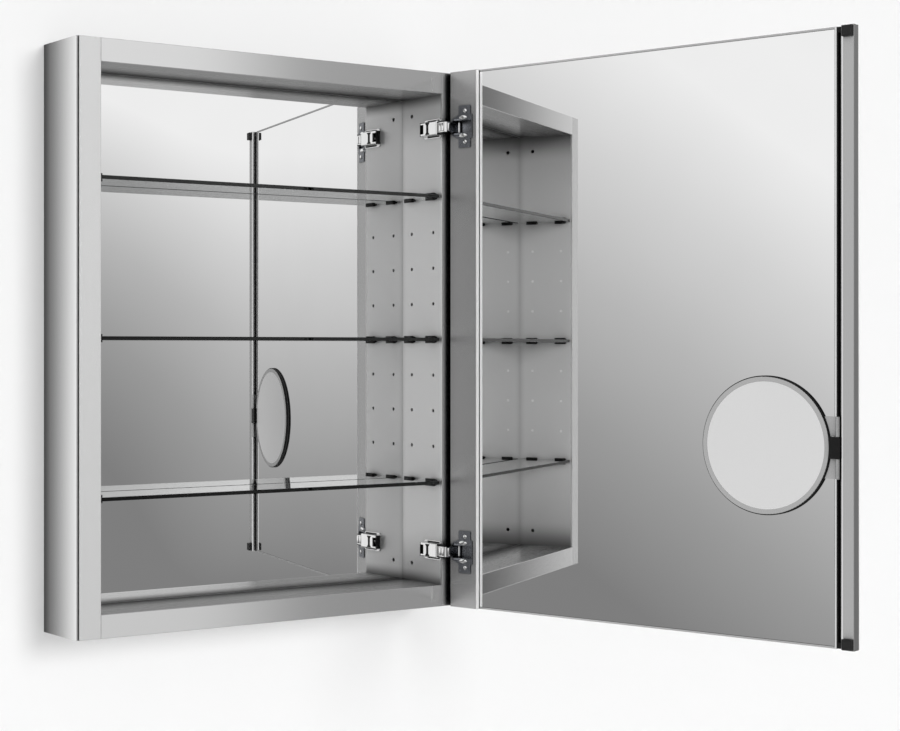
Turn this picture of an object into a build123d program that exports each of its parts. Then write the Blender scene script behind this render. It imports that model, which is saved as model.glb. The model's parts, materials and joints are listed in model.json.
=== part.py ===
from build123d import *
import os

# A wall-hung cabinet with a mirrored door, shown with the door swung open.
# Millimetres. X to the right, Y into the wall, Z up.
# The origin is the middle of the back face, where the cabinet meets the wall.

# Cabinet body
BODY_W = 613.6          # over the two side covers
BODY_H = 762.0
BODY_D = 95.0           # from the wall to the face of the front frame
COVER_T = 1.6
COVER_SETBACK = 2.5     # cover edge behind the face of the frame
COVER_SEAM = 1.2        # groove between a cover and its stile
FRAME_T = 3.0
STILE_W = 30.9
RAIL_H = 30.3
RETURN_D = 15.0         # depth of the return along a stile's outer edge
SHEET_T = 1.5           # outer and inner sheet of the body
BACK_T = 0.9
BACK_MIRROR_T = 3.0
MIRROR_PLAY = 0.5       # free space round a mirror in its frame
EDGE_R = 0.6            # broken edges of frame bars

# Shelves, their clips and the holes in the inner walls
SHELF_T = 5.0
SHELF_SETBACK = 4.0     # front edge of a shelf behind the face of the frame
SHELF_BACK_PLAY = 1.2
SHELF_EDGE = 0.5        # polished chamfer
HOLE_PITCH = 51.2
HOLE_STEPS = 4          # holes above and below the middle one
SHELF_STEP = 4          # a shelf sits this many holes above and below the middle
HOLE_FRONT = 20.2       # front column of holes behind the face of the frame
HOLE_BACK = 71.1
HOLE_R = 2.5
PEG_PLAY = 0.1
PEG_L = 5.0
CLIP_L = 18.0
CLIP_REACH = 8.0
CLIP_WEB = 1.4
CLIP_LIP = 2.7          # thickness of the lips above and below the glass
CLIP_ROOT = 1.0         # the same at the wall
CLIP_TAPER = 4.5        # the lips run thin over this length
CLIP_PLAY = 0.05
CLIP_END_PLAY = 0.3
CLIP_R = 0.8
FIXING_HOLE_R = 3.0
FIXING_HOLE_DROP = 25.3  # fixing holes from the inner ceiling and floor

# Door
DOOR_T = 15.0
DOOR_FREE_INSET = 0.5   # closed door inside the body's edge, on the free side
DOOR_HINGE_INSET = 3.5
FRONT_MIRROR_T = 3.0
CORE_T = 2.5
INNER_MIRROR_T = 3.0
GLASS_EDGE = 0.6        # ground edge of the front mirror
HINGE_STILE_W = 47.0
FREE_STILE_W = 17.1
STILE_WALL = 2.0        # wall of the hollow door stiles
DOOR_RAIL_H = 2.5
LIP_W = 2.5             # lip of the track channel along the inner mirror
LIP_RISE = 0.5          # lip and door rails above the inner mirror
CHANNEL_T = 2.0         # floor of the track channel
CORNER_R = 2.0          # rounded edges: hinge stile beside the body, free stile beside the track
BUMPER_W = 13.0
BUMPER_H = 5.5
BUMPER_EDGE = 1.1       # bumper from the ends and outer edge of the free stile
BUMPER_R = 1.0
BUMPER_PLAY = 0.2       # closed bumper to the frame
OPEN_ANGLE = 105.0      # as stored

# Hinges
HINGE_FROM_END = 79.0   # middle of a hinge from the end of the body
PIN_R = 1.25
PIN_PLAY = 0.06
EYE_R = 2.5
ARM_T = 3.0
ARM_H = 14.0
ARM_LEG_T = 4.0
ARM_TAIL = 14.0         # arm inside its base
ARM_BEND_R = 3.5
ARM_FROM_WALL = 2.6
BASE_L = 38.0
BASE_H = 27.0
BASE_PLATE_T = 1.8
BASE_REACH = 9.5
BASE_SETBACK = 1.0
HOUSING_L = 30.0
HOUSING_H = 20.0
HOUSING_R = 1.5
RIB_T = 3.2             # ribs of the base beside its screw
SLOT_W_BASE = 3.6       # adjusting slot in the base
SLOT_H_BASE = 16.0
SLOT_DEPTH = 1.8
SLOT_Y = 21.0           # adjusting slot behind the front of the base
SEAT_PLAY = 0.1         # between pieces let into each other
CUP_EDGE = 4.3          # cup from the hinge edge of the door
CUP_L = 35.3
CUP_END_T = 0.9
CUP_SIDE_T = 2.0
CUP_FLOOR_T = 0.7
CUP_BACK_GAP = 0.3      # cup to the front mirror
EYE_GAP = 0.5           # hinge eye to the cup floor
EYE_SWING = 2.5         # hinge eye to the cup end
POCKET_SIDE = 2.0       # arm to the cup sides
FLANGE_T = 1.2
FLANGE_H = 60.0
FLANGE_BODY_H = 34.0    # flange between its two wings
FLANGE_TIP_H = 24.0     # flange at the hinge edge of the door
FLANGE_L = 23.3         # flange without its tapered shoulders
WING_INSET = 2.8        # wings from the far edge of the flange
WING_R = 1.2
PLATE_R = 3.0
CHEEK_H = 2.4           # raised cheeks beside the cup
CHEEK_T = 2.5
CHEEK_L = 18.0
SCREW_R = 1.6
SCREW_HEAD_R = 3.1
SCREW_HEAD_H = 1.6
SCREW_L = 7.0
SCREW_SPREAD = 44.0     # between the two screws of a cup
CROSS_W = 1.0
CROSS_L = 3.8
CROSS_DEPTH = 0.8

# Track beside the free stile
SLOT_W = 8.0
LINER_T = 0.9
LINER_LIP_W = 1.0
LINER_TOP_GAP = 0.2     # liner below the top of the channel lip
END_STOP_L = 7.0
END_STOP_SETBACK = 0.5

# Magnifier
MAG_Z = -134.8          # centre, as stored
RING_R = 86.5
RING_W = 6.0
RING_T = 1.1
RING_EDGE_R = 0.5
MAG_GLASS_T = 2.0
MAG_GLASS_PLAY = 0.1
MAG_DISH_R = 3600.0     # hollow face of the magnifying glass
SHELL_GAP = 0.7         # shell above the inner mirror
SHELL_SKIN = 0.7        # shell over the leaf
SHELL_RIM = 1.1         # rim of the shell beside the glass
LEAF_T = 0.9
LEAF_H = 76.4
LEAF_L = 43.0
LEAF_GAP = 0.3          # leaf above the channel lip
BARREL_R = 2.6
BARREL_RISE = 2.1       # barrel above the underside of the leaf
MAG_PIN_R = 1.2
KNUCKLE_H = 26.6
KNUCKLE_L = 14.5
KNUCKLE_GAP = 0.4       # knuckle to the free stile, and above the channel lip
KNUCKLE_SIDE = 0.5      # knuckle to the barrels
RING_TO_KNUCKLE = 1.3
SLIDER_L = 60.0
SLIDER_PLAY = 0.3
NECK_W = 3.2

# Places on the body
HALF_W = BODY_W / 2
HALF_H = BODY_H / 2
COVER_IN = HALF_W - COVER_T
FRAME_HALF = COVER_IN - COVER_SEAM
OPEN_HALF = FRAME_HALF - STILE_W
OPEN_TOP = HALF_H - RAIL_H
FRONT_Y = -BODY_D
FRAME_BACK_Y = FRONT_Y + FRAME_T
MIRROR_Y = -BACK_T - BACK_MIRROR_T
SHELF_LEVELS = [SHELF_STEP * HOLE_PITCH, 0.0, -SHELF_STEP * HOLE_PITCH]
HOLE_COLUMNS = [FRONT_Y + HOLE_FRONT, FRONT_Y + HOLE_BACK]
FIXING_HOLE_Z = OPEN_TOP - FIXING_HOLE_DROP
HINGE_Z = HALF_H - HINGE_FROM_END

# Places on the door: P runs from its hinge edge, U from its outer face inwards
DOOR_W = BODY_W - DOOR_FREE_INSET - DOOR_HINGE_INSET
FRAME_U = FRONT_MIRROR_T
INNER_GLASS_U = FRONT_MIRROR_T + CORE_T + INNER_MIRROR_T
LIP_U = INNER_GLASS_U + LIP_RISE
FREE_STILE_P = DOOR_W - FREE_STILE_W
SLOT_P = FREE_STILE_P - SLOT_W
LIP_P = SLOT_P - LIP_W
CUP_U = FRAME_U + CUP_BACK_GAP
POCKET_U = CUP_U + CUP_FLOOR_T
PIVOT_P = CUP_EDGE + CUP_END_T + EYE_SWING + EYE_R
PIVOT_U = POCKET_U + EYE_GAP + EYE_R
CLOSED_GAP = BUMPER_H + BUMPER_PLAY
PIVOT_X = HALF_W - DOOR_HINGE_INSET - PIVOT_P
PIVOT_Y = FRONT_Y - CLOSED_GAP - DOOR_T + PIVOT_U
DOOR_PLACE = Pos(PIVOT_X, PIVOT_Y, 0) * Rot(0, 0, 180 + OPEN_ANGLE)

# Places on the hinges
ARM_X = (OPEN_HALF - ARM_FROM_WALL - ARM_LEG_T, OPEN_HALF - ARM_FROM_WALL)
BASE_Y = FRONT_Y + BASE_SETBACK
POCKET_HALF = ARM_H / 2 + POCKET_SIDE
CUP_HALF = POCKET_HALF + CUP_SIDE_T
CUP_END = CUP_EDGE + CUP_L
CUP_SCREW_P = CUP_END - FLANGE_L / 2

# Places on the track and the magnifier
LINER_U = FRAME_U + CHANNEL_T
LINER_TOP = LIP_U - LINER_TOP_GAP
TRACK_P = SLOT_P + SLOT_W / 2
TRACK_HALF = HALF_H - END_STOP_SETBACK - END_STOP_L
LEAF_U = LIP_U + LEAF_GAP
AXIS_U = LEAF_U + BARREL_RISE + BARREL_R
KNUCKLE_P = (FREE_STILE_P - KNUCKLE_GAP - KNUCKLE_L, FREE_STILE_P - KNUCKLE_GAP)
KNUCKLE_U = (LIP_U + KNUCKLE_GAP, AXIS_U + BARREL_R)
SHELL_U = INNER_GLASS_U + SHELL_GAP
SHELL_FLOOR_U = LEAF_U + LEAF_T + SHELL_SKIN
RING_U = SHELL_FLOOR_U + SHELL_RIM
MAG_P = KNUCKLE_P[0] - RING_TO_KNUCKLE - RING_R
MAG_GLASS_R = RING_R - RING_W - MAG_GLASS_PLAY


def block(x, y, z):
    """A box between low and high values along X, Y and Z."""
    size = [high - low for low, high in (x, y, z)]
    middle = [(low + high) / 2 for low, high in (x, y, z)]
    return Pos(*middle) * Box(*size)


def about(middle, half):
    """Low and high values at equal distances from a middle value."""
    return (middle - half, middle + half)


def door_x(p):
    return p - PIVOT_P


def door_y(u):
    return PIVOT_U - u


def door_block(p, u, z):
    """A box on the door, in the door's own frame round the hinge pins."""
    return block((door_x(p[0]), door_x(p[1])), (door_y(u[1]), door_y(u[0])), z)


def rod_x(radius, x, y, z):
    """A round rod along X."""
    return Pos((x[0] + x[1]) / 2, y, z) * Rot(0, 90, 0) * Cylinder(radius, x[1] - x[0])


def rod_z(radius, x, y, z):
    """A round rod along Z."""
    return Pos(x, y, (z[0] + z[1]) / 2) * Cylinder(radius, z[1] - z[0])


def door_rod(radius, p, u, z):
    """A round rod on the door, standing square to its face."""
    centre = Pos(door_x(p), door_y((u[0] + u[1]) / 2), z)
    return centre * Rot(90, 0, 0) * Cylinder(radius, u[1] - u[0])


def left_of(shape):
    return mirror(shape, about=Plane.YZ)


def below(shape):
    return mirror(shape, about=Plane.XY)


def group(solids):
    return Compound(children=solids)


def front_edges(shape):
    """The edges of a bar that lie in its front face."""
    return shape.faces().sort_by(Axis.Y)[0].edges()


# Sheet of the body


def side_cover():
    cover = block((COVER_IN, HALF_W), (FRONT_Y + COVER_SETBACK, 0), about(0, HALF_H))
    outer_front = cover.edges().filter_by(Axis.Z).group_by(Axis.Y)[0].sort_by(Axis.X)[-1]
    return fillet(outer_front, COVER_T / 2)


def top_panel():
    return block(about(0, COVER_IN), (FRAME_BACK_Y, 0), (HALF_H - SHEET_T, HALF_H))


def back_panel():
    return block(about(0, COVER_IN), (-BACK_T, 0), about(0, HALF_H - SHEET_T))


def inner_wall():
    wall_x = (OPEN_HALF, OPEN_HALF + SHEET_T)
    wall = block(wall_x, (FRAME_BACK_Y, -BACK_T), about(0, OPEN_TOP + SHEET_T))
    for step in range(-HOLE_STEPS, HOLE_STEPS + 1):
        for y in HOLE_COLUMNS:
            wall -= rod_x(HOLE_R, wall_x, y, step * HOLE_PITCH)
    for z in (FIXING_HOLE_Z, -FIXING_HOLE_Z):
        wall -= rod_x(FIXING_HOLE_R, wall_x, HOLE_COLUMNS[1], z)
    return wall


def hinge_wall():
    wall = inner_wall()
    for z in (HINGE_Z, -HINGE_Z):
        wall -= rod_x(SCREW_R, (OPEN_HALF, OPEN_HALF + SHEET_T), base_screw_y(), z)
    return wall


def inner_ceiling():
    return block(about(0, OPEN_HALF), (FRAME_BACK_Y, -BACK_T), (OPEN_TOP, OPEN_TOP + SHEET_T))


def back_mirror():
    return block(
        about(0, OPEN_HALF - MIRROR_PLAY), (MIRROR_Y, -BACK_T), about(0, OPEN_TOP - MIRROR_PLAY)
    )


# Front frame


def body_stile():
    face = block((OPEN_HALF, FRAME_HALF), (FRONT_Y, FRAME_BACK_Y), about(0, HALF_H))
    face = fillet(front_edges(face), EDGE_R)
    edge_return = block(
        (FRAME_HALF - SHEET_T, FRAME_HALF),
        (FRAME_BACK_Y, FRONT_Y + RETURN_D),
        about(0, HALF_H - SHEET_T),
    )
    return face + edge_return


def body_rail():
    rail = block(about(0, OPEN_HALF), (FRONT_Y, FRAME_BACK_Y), (OPEN_TOP, HALF_H))
    return fillet(front_edges(rail).filter_by(Axis.X), EDGE_R)


# Shelves and clips


def shelf(z):
    half = OPEN_HALF - CLIP_WEB - CLIP_END_PLAY
    glass_y = (FRONT_Y + SHELF_SETBACK, MIRROR_Y - SHELF_BACK_PLAY)
    glass = block(about(0, half), glass_y, about(z, SHELF_T / 2))
    return chamfer(front_edges(glass).filter_by(Axis.X), SHELF_EDGE)


def shelf_clip(y, z):
    """A grip for the end of a shelf: two lips that run thin towards the wall, and a peg."""
    grip = SHELF_T / 2 + CLIP_PLAY
    upper = [
        (OPEN_HALF, grip + CLIP_ROOT),
        (OPEN_HALF - CLIP_TAPER, grip + CLIP_LIP),
        (OPEN_HALF - CLIP_REACH, grip + CLIP_LIP),
    ]
    lower = [(x, -height) for x, height in reversed(upper)]
    outline = Plane.XZ * Polyline(*upper, *lower, close=True)
    clip = Pos(0, y + CLIP_L / 2, z) * extrude(make_face(outline), CLIP_L, dir=(0, -1, 0))
    clip = fillet(clip.faces().sort_by(Axis.X)[0].edges(), CLIP_R)
    clip -= block((OPEN_HALF - CLIP_REACH, OPEN_HALF - CLIP_WEB), about(y, CLIP_L / 2), about(z, grip))
    return clip + rod_x(HOLE_R - PEG_PLAY, (OPEN_HALF, OPEN_HALF + PEG_L), y, z)


def shelf_clips():
    return [shelf_clip(y, z) for z in SHELF_LEVELS for y in HOLE_COLUMNS]


# Hinges on the body


def base_screw_y():
    return BASE_Y + (HOUSING_L + BASE_L) / 2


def hinge_base(z):
    """A base plate with a housing for the arm; two ribs run on beside the screw."""
    base_y = (BASE_Y, BASE_Y + BASE_L)
    housing_x = (OPEN_HALF - BASE_REACH, OPEN_HALF - BASE_PLATE_T)
    plate = block((OPEN_HALF - BASE_PLATE_T, OPEN_HALF), base_y, about(z, BASE_H / 2))
    plate = fillet(plate.edges().filter_by(Axis.X), PLATE_R)
    housing = block(housing_x, base_y, about(z, HOUSING_H / 2))
    housing = fillet(housing.faces().sort_by(Axis.X)[0].edges(), HOUSING_R)
    base = plate + housing
    base -= block(housing_x, (BASE_Y + HOUSING_L, BASE_Y + BASE_L), about(z, HOUSING_H / 2 - RIB_T))
    base -= block(
        about(sum(ARM_X) / 2, ARM_LEG_T / 2 + SEAT_PLAY),
        (BASE_Y, BASE_Y + ARM_TAIL),
        about(z, ARM_H / 2 + SEAT_PLAY),
    )
    base -= block(
        (OPEN_HALF - BASE_REACH, OPEN_HALF - BASE_REACH + SLOT_DEPTH),
        about(BASE_Y + SLOT_Y, SLOT_W_BASE / 2),
        about(z, SLOT_H_BASE / 2),
    )
    return base - rod_x(SCREW_R, (OPEN_HALF - BASE_PLATE_T, OPEN_HALF), base_screw_y(), z)


def base_screw(z):
    """A fixing screw of a hinge base, driven through the inner wall."""
    seat = OPEN_HALF - BASE_PLATE_T
    screw = rod_x(SCREW_HEAD_R, (seat - SCREW_HEAD_H, seat), base_screw_y(), z)
    screw += rod_x(SCREW_R, (seat, seat + SCREW_L), base_screw_y(), z)
    cut_x = (seat - SCREW_HEAD_H, seat - SCREW_HEAD_H + CROSS_DEPTH)
    screw -= block(cut_x, about(base_screw_y(), CROSS_L / 2), about(z, CROSS_W / 2))
    return screw - block(cut_x, about(base_screw_y(), CROSS_W / 2), about(z, CROSS_L / 2))


def hinge_arm(z):
    """A cranked arm from its base round the door's hinge edge to the pin."""
    leg = block(ARM_X, (PIVOT_Y - ARM_T / 2, BASE_Y + ARM_TAIL), about(z, ARM_H / 2))
    reach = block((ARM_X[0], PIVOT_X), about(PIVOT_Y, ARM_T / 2), about(z, ARM_H / 2))
    arm = leg + reach
    outer_bend = arm.edges().filter_by(Axis.Z).sort_by_distance((ARM_X[0], PIVOT_Y - ARM_T / 2, z))[0]
    arm = fillet(outer_bend, ARM_BEND_R)
    inner_bend = arm.edges().filter_by(Axis.Z).sort_by_distance((ARM_X[1], PIVOT_Y + ARM_T / 2, z))[0]
    arm = fillet(inner_bend, ARM_T / 2)
    arm += rod_z(EYE_R, PIVOT_X, PIVOT_Y, about(z, ARM_H / 2))
    return arm - rod_z(PIN_R + PIN_PLAY, PIVOT_X, PIVOT_Y, about(z, ARM_H))


# Hinges on the door


def hinge_cup(z):
    cup = door_block((CUP_EDGE, CUP_END), (CUP_U, DOOR_T), about(z, CUP_HALF))
    cup += hinge_flange(z)
    for side in (1, -1):
        cup += hinge_cheek(z + side * (POCKET_HALF + CHEEK_T / 2))
    cup -= door_block(
        (CUP_EDGE + CUP_END_T, CUP_END - CUP_END_T),
        (POCKET_U, DOOR_T + FLANGE_T + CHEEK_H),
        about(z, POCKET_HALF),
    )
    for screw_z in cup_screw_levels(z):
        cup -= door_rod(SCREW_R, CUP_SCREW_P, (DOOR_T, DOOR_T + FLANGE_T), screw_z)
    return cup - rod_z(PIN_R, 0, 0, about(z, CUP_HALF))


def hinge_flange(z):
    """The cup's plate on the stile: a wing for each screw, shoulders drawn in towards the pin."""
    shoulder = door_x(CUP_END - FLANGE_L)
    wing_edge = door_x(CUP_END - WING_INSET)
    upper_half = [
        (door_x(CUP_EDGE), FLANGE_TIP_H / 2),
        (shoulder, FLANGE_BODY_H / 2),
        (shoulder, FLANGE_H / 2),
        (wing_edge, FLANGE_H / 2),
        (wing_edge, FLANGE_BODY_H / 2),
        (door_x(CUP_END), FLANGE_BODY_H / 2),
    ]
    lower_half = [(x, -height) for x, height in reversed(upper_half)]
    outline = Plane.XZ * Polyline(*upper_half, *lower_half, close=True)
    flange = extrude(make_face(outline), FLANGE_T, dir=(0, -1, 0))
    flange = fillet(flange.edges().filter_by(Axis.Y), WING_R)
    return Pos(0, door_y(DOOR_T), z) * flange


def hinge_cheek(z):
    """A raised cheek beside the cup, highest next to the pin."""
    seat = DOOR_T + FLANGE_T
    outline = Polyline(
        (door_x(CUP_EDGE + CUP_END_T), door_y(seat)),
        (0, door_y(seat + CHEEK_H)),
        (door_x(CUP_EDGE + CUP_END_T + CHEEK_L), door_y(seat)),
        close=True,
    )
    return Pos(0, 0, z - CHEEK_T / 2) * extrude(make_face(outline), CHEEK_T)


def cup_screw_levels(z):
    return [z + SCREW_SPREAD / 2, z - SCREW_SPREAD / 2]


def cup_screw(z):
    seat = DOOR_T + FLANGE_T
    screw = door_rod(SCREW_HEAD_R, CUP_SCREW_P, (seat, seat + SCREW_HEAD_H), z)
    screw += door_rod(SCREW_R, CUP_SCREW_P, (seat - SCREW_L, seat), z)
    cut_u = (seat + SCREW_HEAD_H - CROSS_DEPTH, seat + SCREW_HEAD_H)
    screw -= door_block(about(CUP_SCREW_P, CROSS_L / 2), cut_u, about(z, CROSS_W / 2))
    return screw - door_block(about(CUP_SCREW_P, CROSS_W / 2), cut_u, about(z, CROSS_L / 2))


def hinge_pin(z):
    return rod_z(PIN_R, 0, 0, about(z, CUP_HALF))


# Door panels and frame


def front_mirror():
    glass = door_block((0, DOOR_W), (0, FRONT_MIRROR_T), about(0, HALF_H))
    return chamfer(glass.faces().sort_by(Axis.Y)[-1].edges(), GLASS_EDGE)


def door_core():
    return door_block(
        (HINGE_STILE_W, LIP_P), (FRAME_U, FRAME_U + CORE_T), about(0, HALF_H - DOOR_RAIL_H)
    )


def inner_mirror():
    return door_block(
        (HINGE_STILE_W + MIRROR_PLAY, LIP_P - MIRROR_PLAY),
        (FRAME_U + CORE_T, INNER_GLASS_U),
        about(0, HALF_H - DOOR_RAIL_H - MIRROR_PLAY),
    )


def hinge_stile():
    stile = door_block((0, HINGE_STILE_W), (FRAME_U, DOOR_T), about(0, HALF_H))
    face_edges = front_edges(stile).filter_by(Axis.Z).sort_by(Axis.X)
    stile = fillet(face_edges[0], CORNER_R)
    stile = fillet(front_edges(stile).filter_by(Axis.Z).sort_by(Axis.X)[-1], EDGE_R)
    for z in (HINGE_Z, -HINGE_Z):
        stile -= door_block(
            (CUP_EDGE - SEAT_PLAY, CUP_END + SEAT_PLAY),
            (FRAME_U, DOOR_T),
            about(z, CUP_HALF + SEAT_PLAY),
        )
        for screw_z in cup_screw_levels(z):
            stile -= door_rod(SCREW_R, CUP_SCREW_P, (DOOR_T + FLANGE_T - SCREW_L, DOOR_T), screw_z)
    return stile


def free_stile():
    stile = door_block((FREE_STILE_P, DOOR_W), (FRAME_U, DOOR_T), about(0, HALF_H))
    stile = fillet(front_edges(stile).filter_by(Axis.Z).sort_by(Axis.X)[0], CORNER_R)
    stile = fillet(front_edges(stile).filter_by(Axis.Z).sort_by(Axis.X)[-1], EDGE_R)
    hollow = door_block(
        (FREE_STILE_P + STILE_WALL, DOOR_W - STILE_WALL),
        (FRAME_U, DOOR_T - STILE_WALL),
        about(0, HALF_H - STILE_WALL),
    )
    return stile - hollow


def track_channel():
    floor = door_block((LIP_P, FREE_STILE_P), (FRAME_U, LINER_U), about(0, HALF_H))
    lip = door_block((LIP_P, SLOT_P), (LINER_U, LIP_U), about(0, HALF_H))
    return floor + lip


def door_rail():
    return door_block(
        (HINGE_STILE_W, LIP_P), (FRAME_U, LIP_U), (HALF_H - DOOR_RAIL_H, HALF_H)
    )


def track_liner():
    outer = about(TRACK_P, SLOT_W / 2)
    liner = door_block(outer, (LINER_U, LINER_TOP), about(0, TRACK_HALF))
    liner -= door_block(
        about(TRACK_P, SLOT_W / 2 - LINER_T),
        (LINER_U + LINER_T, LINER_TOP - LINER_T),
        about(0, TRACK_HALF),
    )
    return liner - door_block(
        about(TRACK_P, SLOT_W / 2 - LINER_T - LINER_LIP_W),
        (LINER_TOP - LINER_T, LINER_TOP),
        about(0, TRACK_HALF),
    )


def end_stop():
    return door_block(
        about(TRACK_P, SLOT_W / 2), (LINER_U, LINER_TOP), (TRACK_HALF, TRACK_HALF + END_STOP_L)
    )


def bumper():
    outer_p = DOOR_W - BUMPER_EDGE
    top = HALF_H - BUMPER_EDGE
    pad = door_block((outer_p - BUMPER_W, outer_p), (DOOR_T, DOOR_T + BUMPER_H), (top - BUMPER_W, top))
    return fillet(front_edges(pad), BUMPER_R)


# Magnifier


def slider():
    head_u = (LINER_U + LINER_T + SLIDER_PLAY, LINER_TOP - LINER_T - SLIDER_PLAY)
    head_half = SLOT_W / 2 - LINER_T - SLIDER_PLAY
    head = door_block(about(TRACK_P, head_half), head_u, about(MAG_Z, SLIDER_L / 2))
    neck = door_block(
        about(TRACK_P, NECK_W / 2), (head_u[1], KNUCKLE_U[0]), about(MAG_Z, KNUCKLE_H / 2)
    )
    return head + neck


def knuckle():
    body = door_block(KNUCKLE_P, KNUCKLE_U, about(MAG_Z, KNUCKLE_H / 2))
    body = fillet(front_edges(body).filter_by(Axis.Z), EDGE_R)
    return body - rod_z(MAG_PIN_R, door_x(TRACK_P), door_y(AXIS_U), about(MAG_Z, KNUCKLE_H / 2))


def magnifier_pin():
    return rod_z(MAG_PIN_R, door_x(TRACK_P), door_y(AXIS_U), about(MAG_Z, LEAF_H / 2))


def magnifier_leaf():
    """A flat leaf under the disc, rolled into a barrel above and below the knuckle."""
    notch_half = KNUCKLE_H / 2 + KNUCKLE_SIDE
    notch_p = KNUCKLE_P[0] - RING_TO_KNUCKLE
    leaf_u = (LEAF_U, LEAF_U + LEAF_T)
    leaf = door_block((TRACK_P - LEAF_L, TRACK_P), leaf_u, about(MAG_Z, LEAF_H / 2))
    leaf += door_block((TRACK_P - BARREL_R, TRACK_P), (LEAF_U, AXIS_U), about(MAG_Z, LEAF_H / 2))
    leaf += rod_z(BARREL_R, door_x(TRACK_P), door_y(AXIS_U), about(MAG_Z, LEAF_H / 2))
    leaf -= door_block((notch_p, TRACK_P + BARREL_R), (LEAF_U, AXIS_U + BARREL_R), about(MAG_Z, notch_half))
    return leaf - rod_z(MAG_PIN_R + PIN_PLAY, door_x(TRACK_P), door_y(AXIS_U), about(MAG_Z, LEAF_H))


def magnifier_shell():
    shell = door_rod(RING_R, MAG_P, (SHELL_U, RING_U), MAG_Z)
    shell -= door_rod(RING_R - RING_W, MAG_P, (SHELL_FLOOR_U, RING_U), MAG_Z)
    return shell - door_block(
        (TRACK_P - LEAF_L, MAG_P + RING_R), (SHELL_U, LEAF_U + LEAF_T), about(MAG_Z, LEAF_H / 2)
    )


def magnifier_ring():
    ring = door_rod(RING_R, MAG_P, (RING_U, RING_U + RING_T), MAG_Z)
    ring = fillet(ring.faces().sort_by(Axis.Y)[0].edges(), RING_EDGE_R)
    return ring - door_rod(RING_R - RING_W, MAG_P, (RING_U, RING_U + RING_T), MAG_Z)


def magnifier_glass():
    face_u = SHELL_FLOOR_U + MAG_GLASS_T
    glass = door_rod(MAG_GLASS_R, MAG_P, (SHELL_FLOOR_U, face_u), MAG_Z)
    dish_u = face_u + (MAG_DISH_R**2 - MAG_GLASS_R**2) ** 0.5
    return glass - Pos(door_x(MAG_P), door_y(dish_u), MAG_Z) * Sphere(MAG_DISH_R)


# All nodes, in the frame of the body

BODY_NODES = {
    "left_side_cover": left_of(side_cover()),
    "right_side_cover": side_cover(),
    "top_panel": top_panel(),
    "bottom_panel": below(top_panel()),
    "back_panel": back_panel(),
    "back_mirror": back_mirror(),
    "left_inner_wall": left_of(inner_wall()),
    "right_inner_wall": hinge_wall(),
    "inner_ceiling": inner_ceiling(),
    "inner_floor": below(inner_ceiling()),
    "left_stile": left_of(body_stile()),
    "right_stile": body_stile(),
    "top_rail": body_rail(),
    "bottom_rail": below(body_rail()),
    "upper_shelf": shelf(SHELF_LEVELS[0]),
    "middle_shelf": shelf(SHELF_LEVELS[1]),
    "lower_shelf": shelf(SHELF_LEVELS[2]),
    "left_shelf_clips": group([left_of(clip) for clip in shelf_clips()]),
    "right_shelf_clips": group(shelf_clips()),
    "upper_hinge_base": hinge_base(HINGE_Z),
    "lower_hinge_base": hinge_base(-HINGE_Z),
    "hinge_base_screws": group([base_screw(HINGE_Z), base_screw(-HINGE_Z)]),
    "upper_hinge_arm": hinge_arm(HINGE_Z),
    "lower_hinge_arm": hinge_arm(-HINGE_Z),
}

CUP_SCREW_LEVELS = cup_screw_levels(HINGE_Z) + cup_screw_levels(-HINGE_Z)
DOOR_NODES = {
    "front_mirror": front_mirror(),
    "door_core": door_core(),
    "inner_mirror": inner_mirror(),
    "hinge_stile": hinge_stile(),
    "free_stile": free_stile(),
    "track_channel": track_channel(),
    "door_top_rail": door_rail(),
    "door_bottom_rail": below(door_rail()),
    "track_liner": track_liner(),
    "track_end_stops": group([end_stop(), below(end_stop())]),
    "door_bumpers": group([bumper(), below(bumper())]),
    "upper_hinge_cup": hinge_cup(HINGE_Z),
    "lower_hinge_cup": hinge_cup(-HINGE_Z),
    "hinge_cup_screws": group([cup_screw(z) for z in CUP_SCREW_LEVELS]),
    "hinge_pins": group([hinge_pin(HINGE_Z), hinge_pin(-HINGE_Z)]),
    "magnifier_slider": slider(),
    "magnifier_knuckle": knuckle(),
    "magnifier_pin": magnifier_pin(),
    "magnifier_leaf": magnifier_leaf(),
    "magnifier_shell": magnifier_shell(),
    "magnifier_ring": magnifier_ring(),
    "magnifier_glass": magnifier_glass(),
}

os.makedirs("parts", exist_ok=True)
for name, shape in BODY_NODES.items():
    export_step(shape, f"parts/{name}.step")
for name, shape in DOOR_NODES.items():
    export_step(DOOR_PLACE * shape, f"parts/{name}.step")

mag_axis = DOOR_PLACE * Pos(door_x(TRACK_P), door_y(AXIS_U), MAG_Z)
print("door axis", PIVOT_X, PIVOT_Y)
print("magnifier axis", mag_axis.position)
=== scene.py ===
# %% [markdown]
# # A medicine cabinet with a mirrored door
# A shallow aluminium cabinet hangs on a wall with its door standing open.
# Almost everything on it is mirror, satin metal or clear glass, so the look comes from
# what those surfaces reflect. The lesson therefore spends as much care on the room
# as on the finishes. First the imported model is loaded: it fixes every size and place.

# %% Load the frame
import json
import math

import bmesh
import bpy
from mathutils import Matrix, Vector


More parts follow.
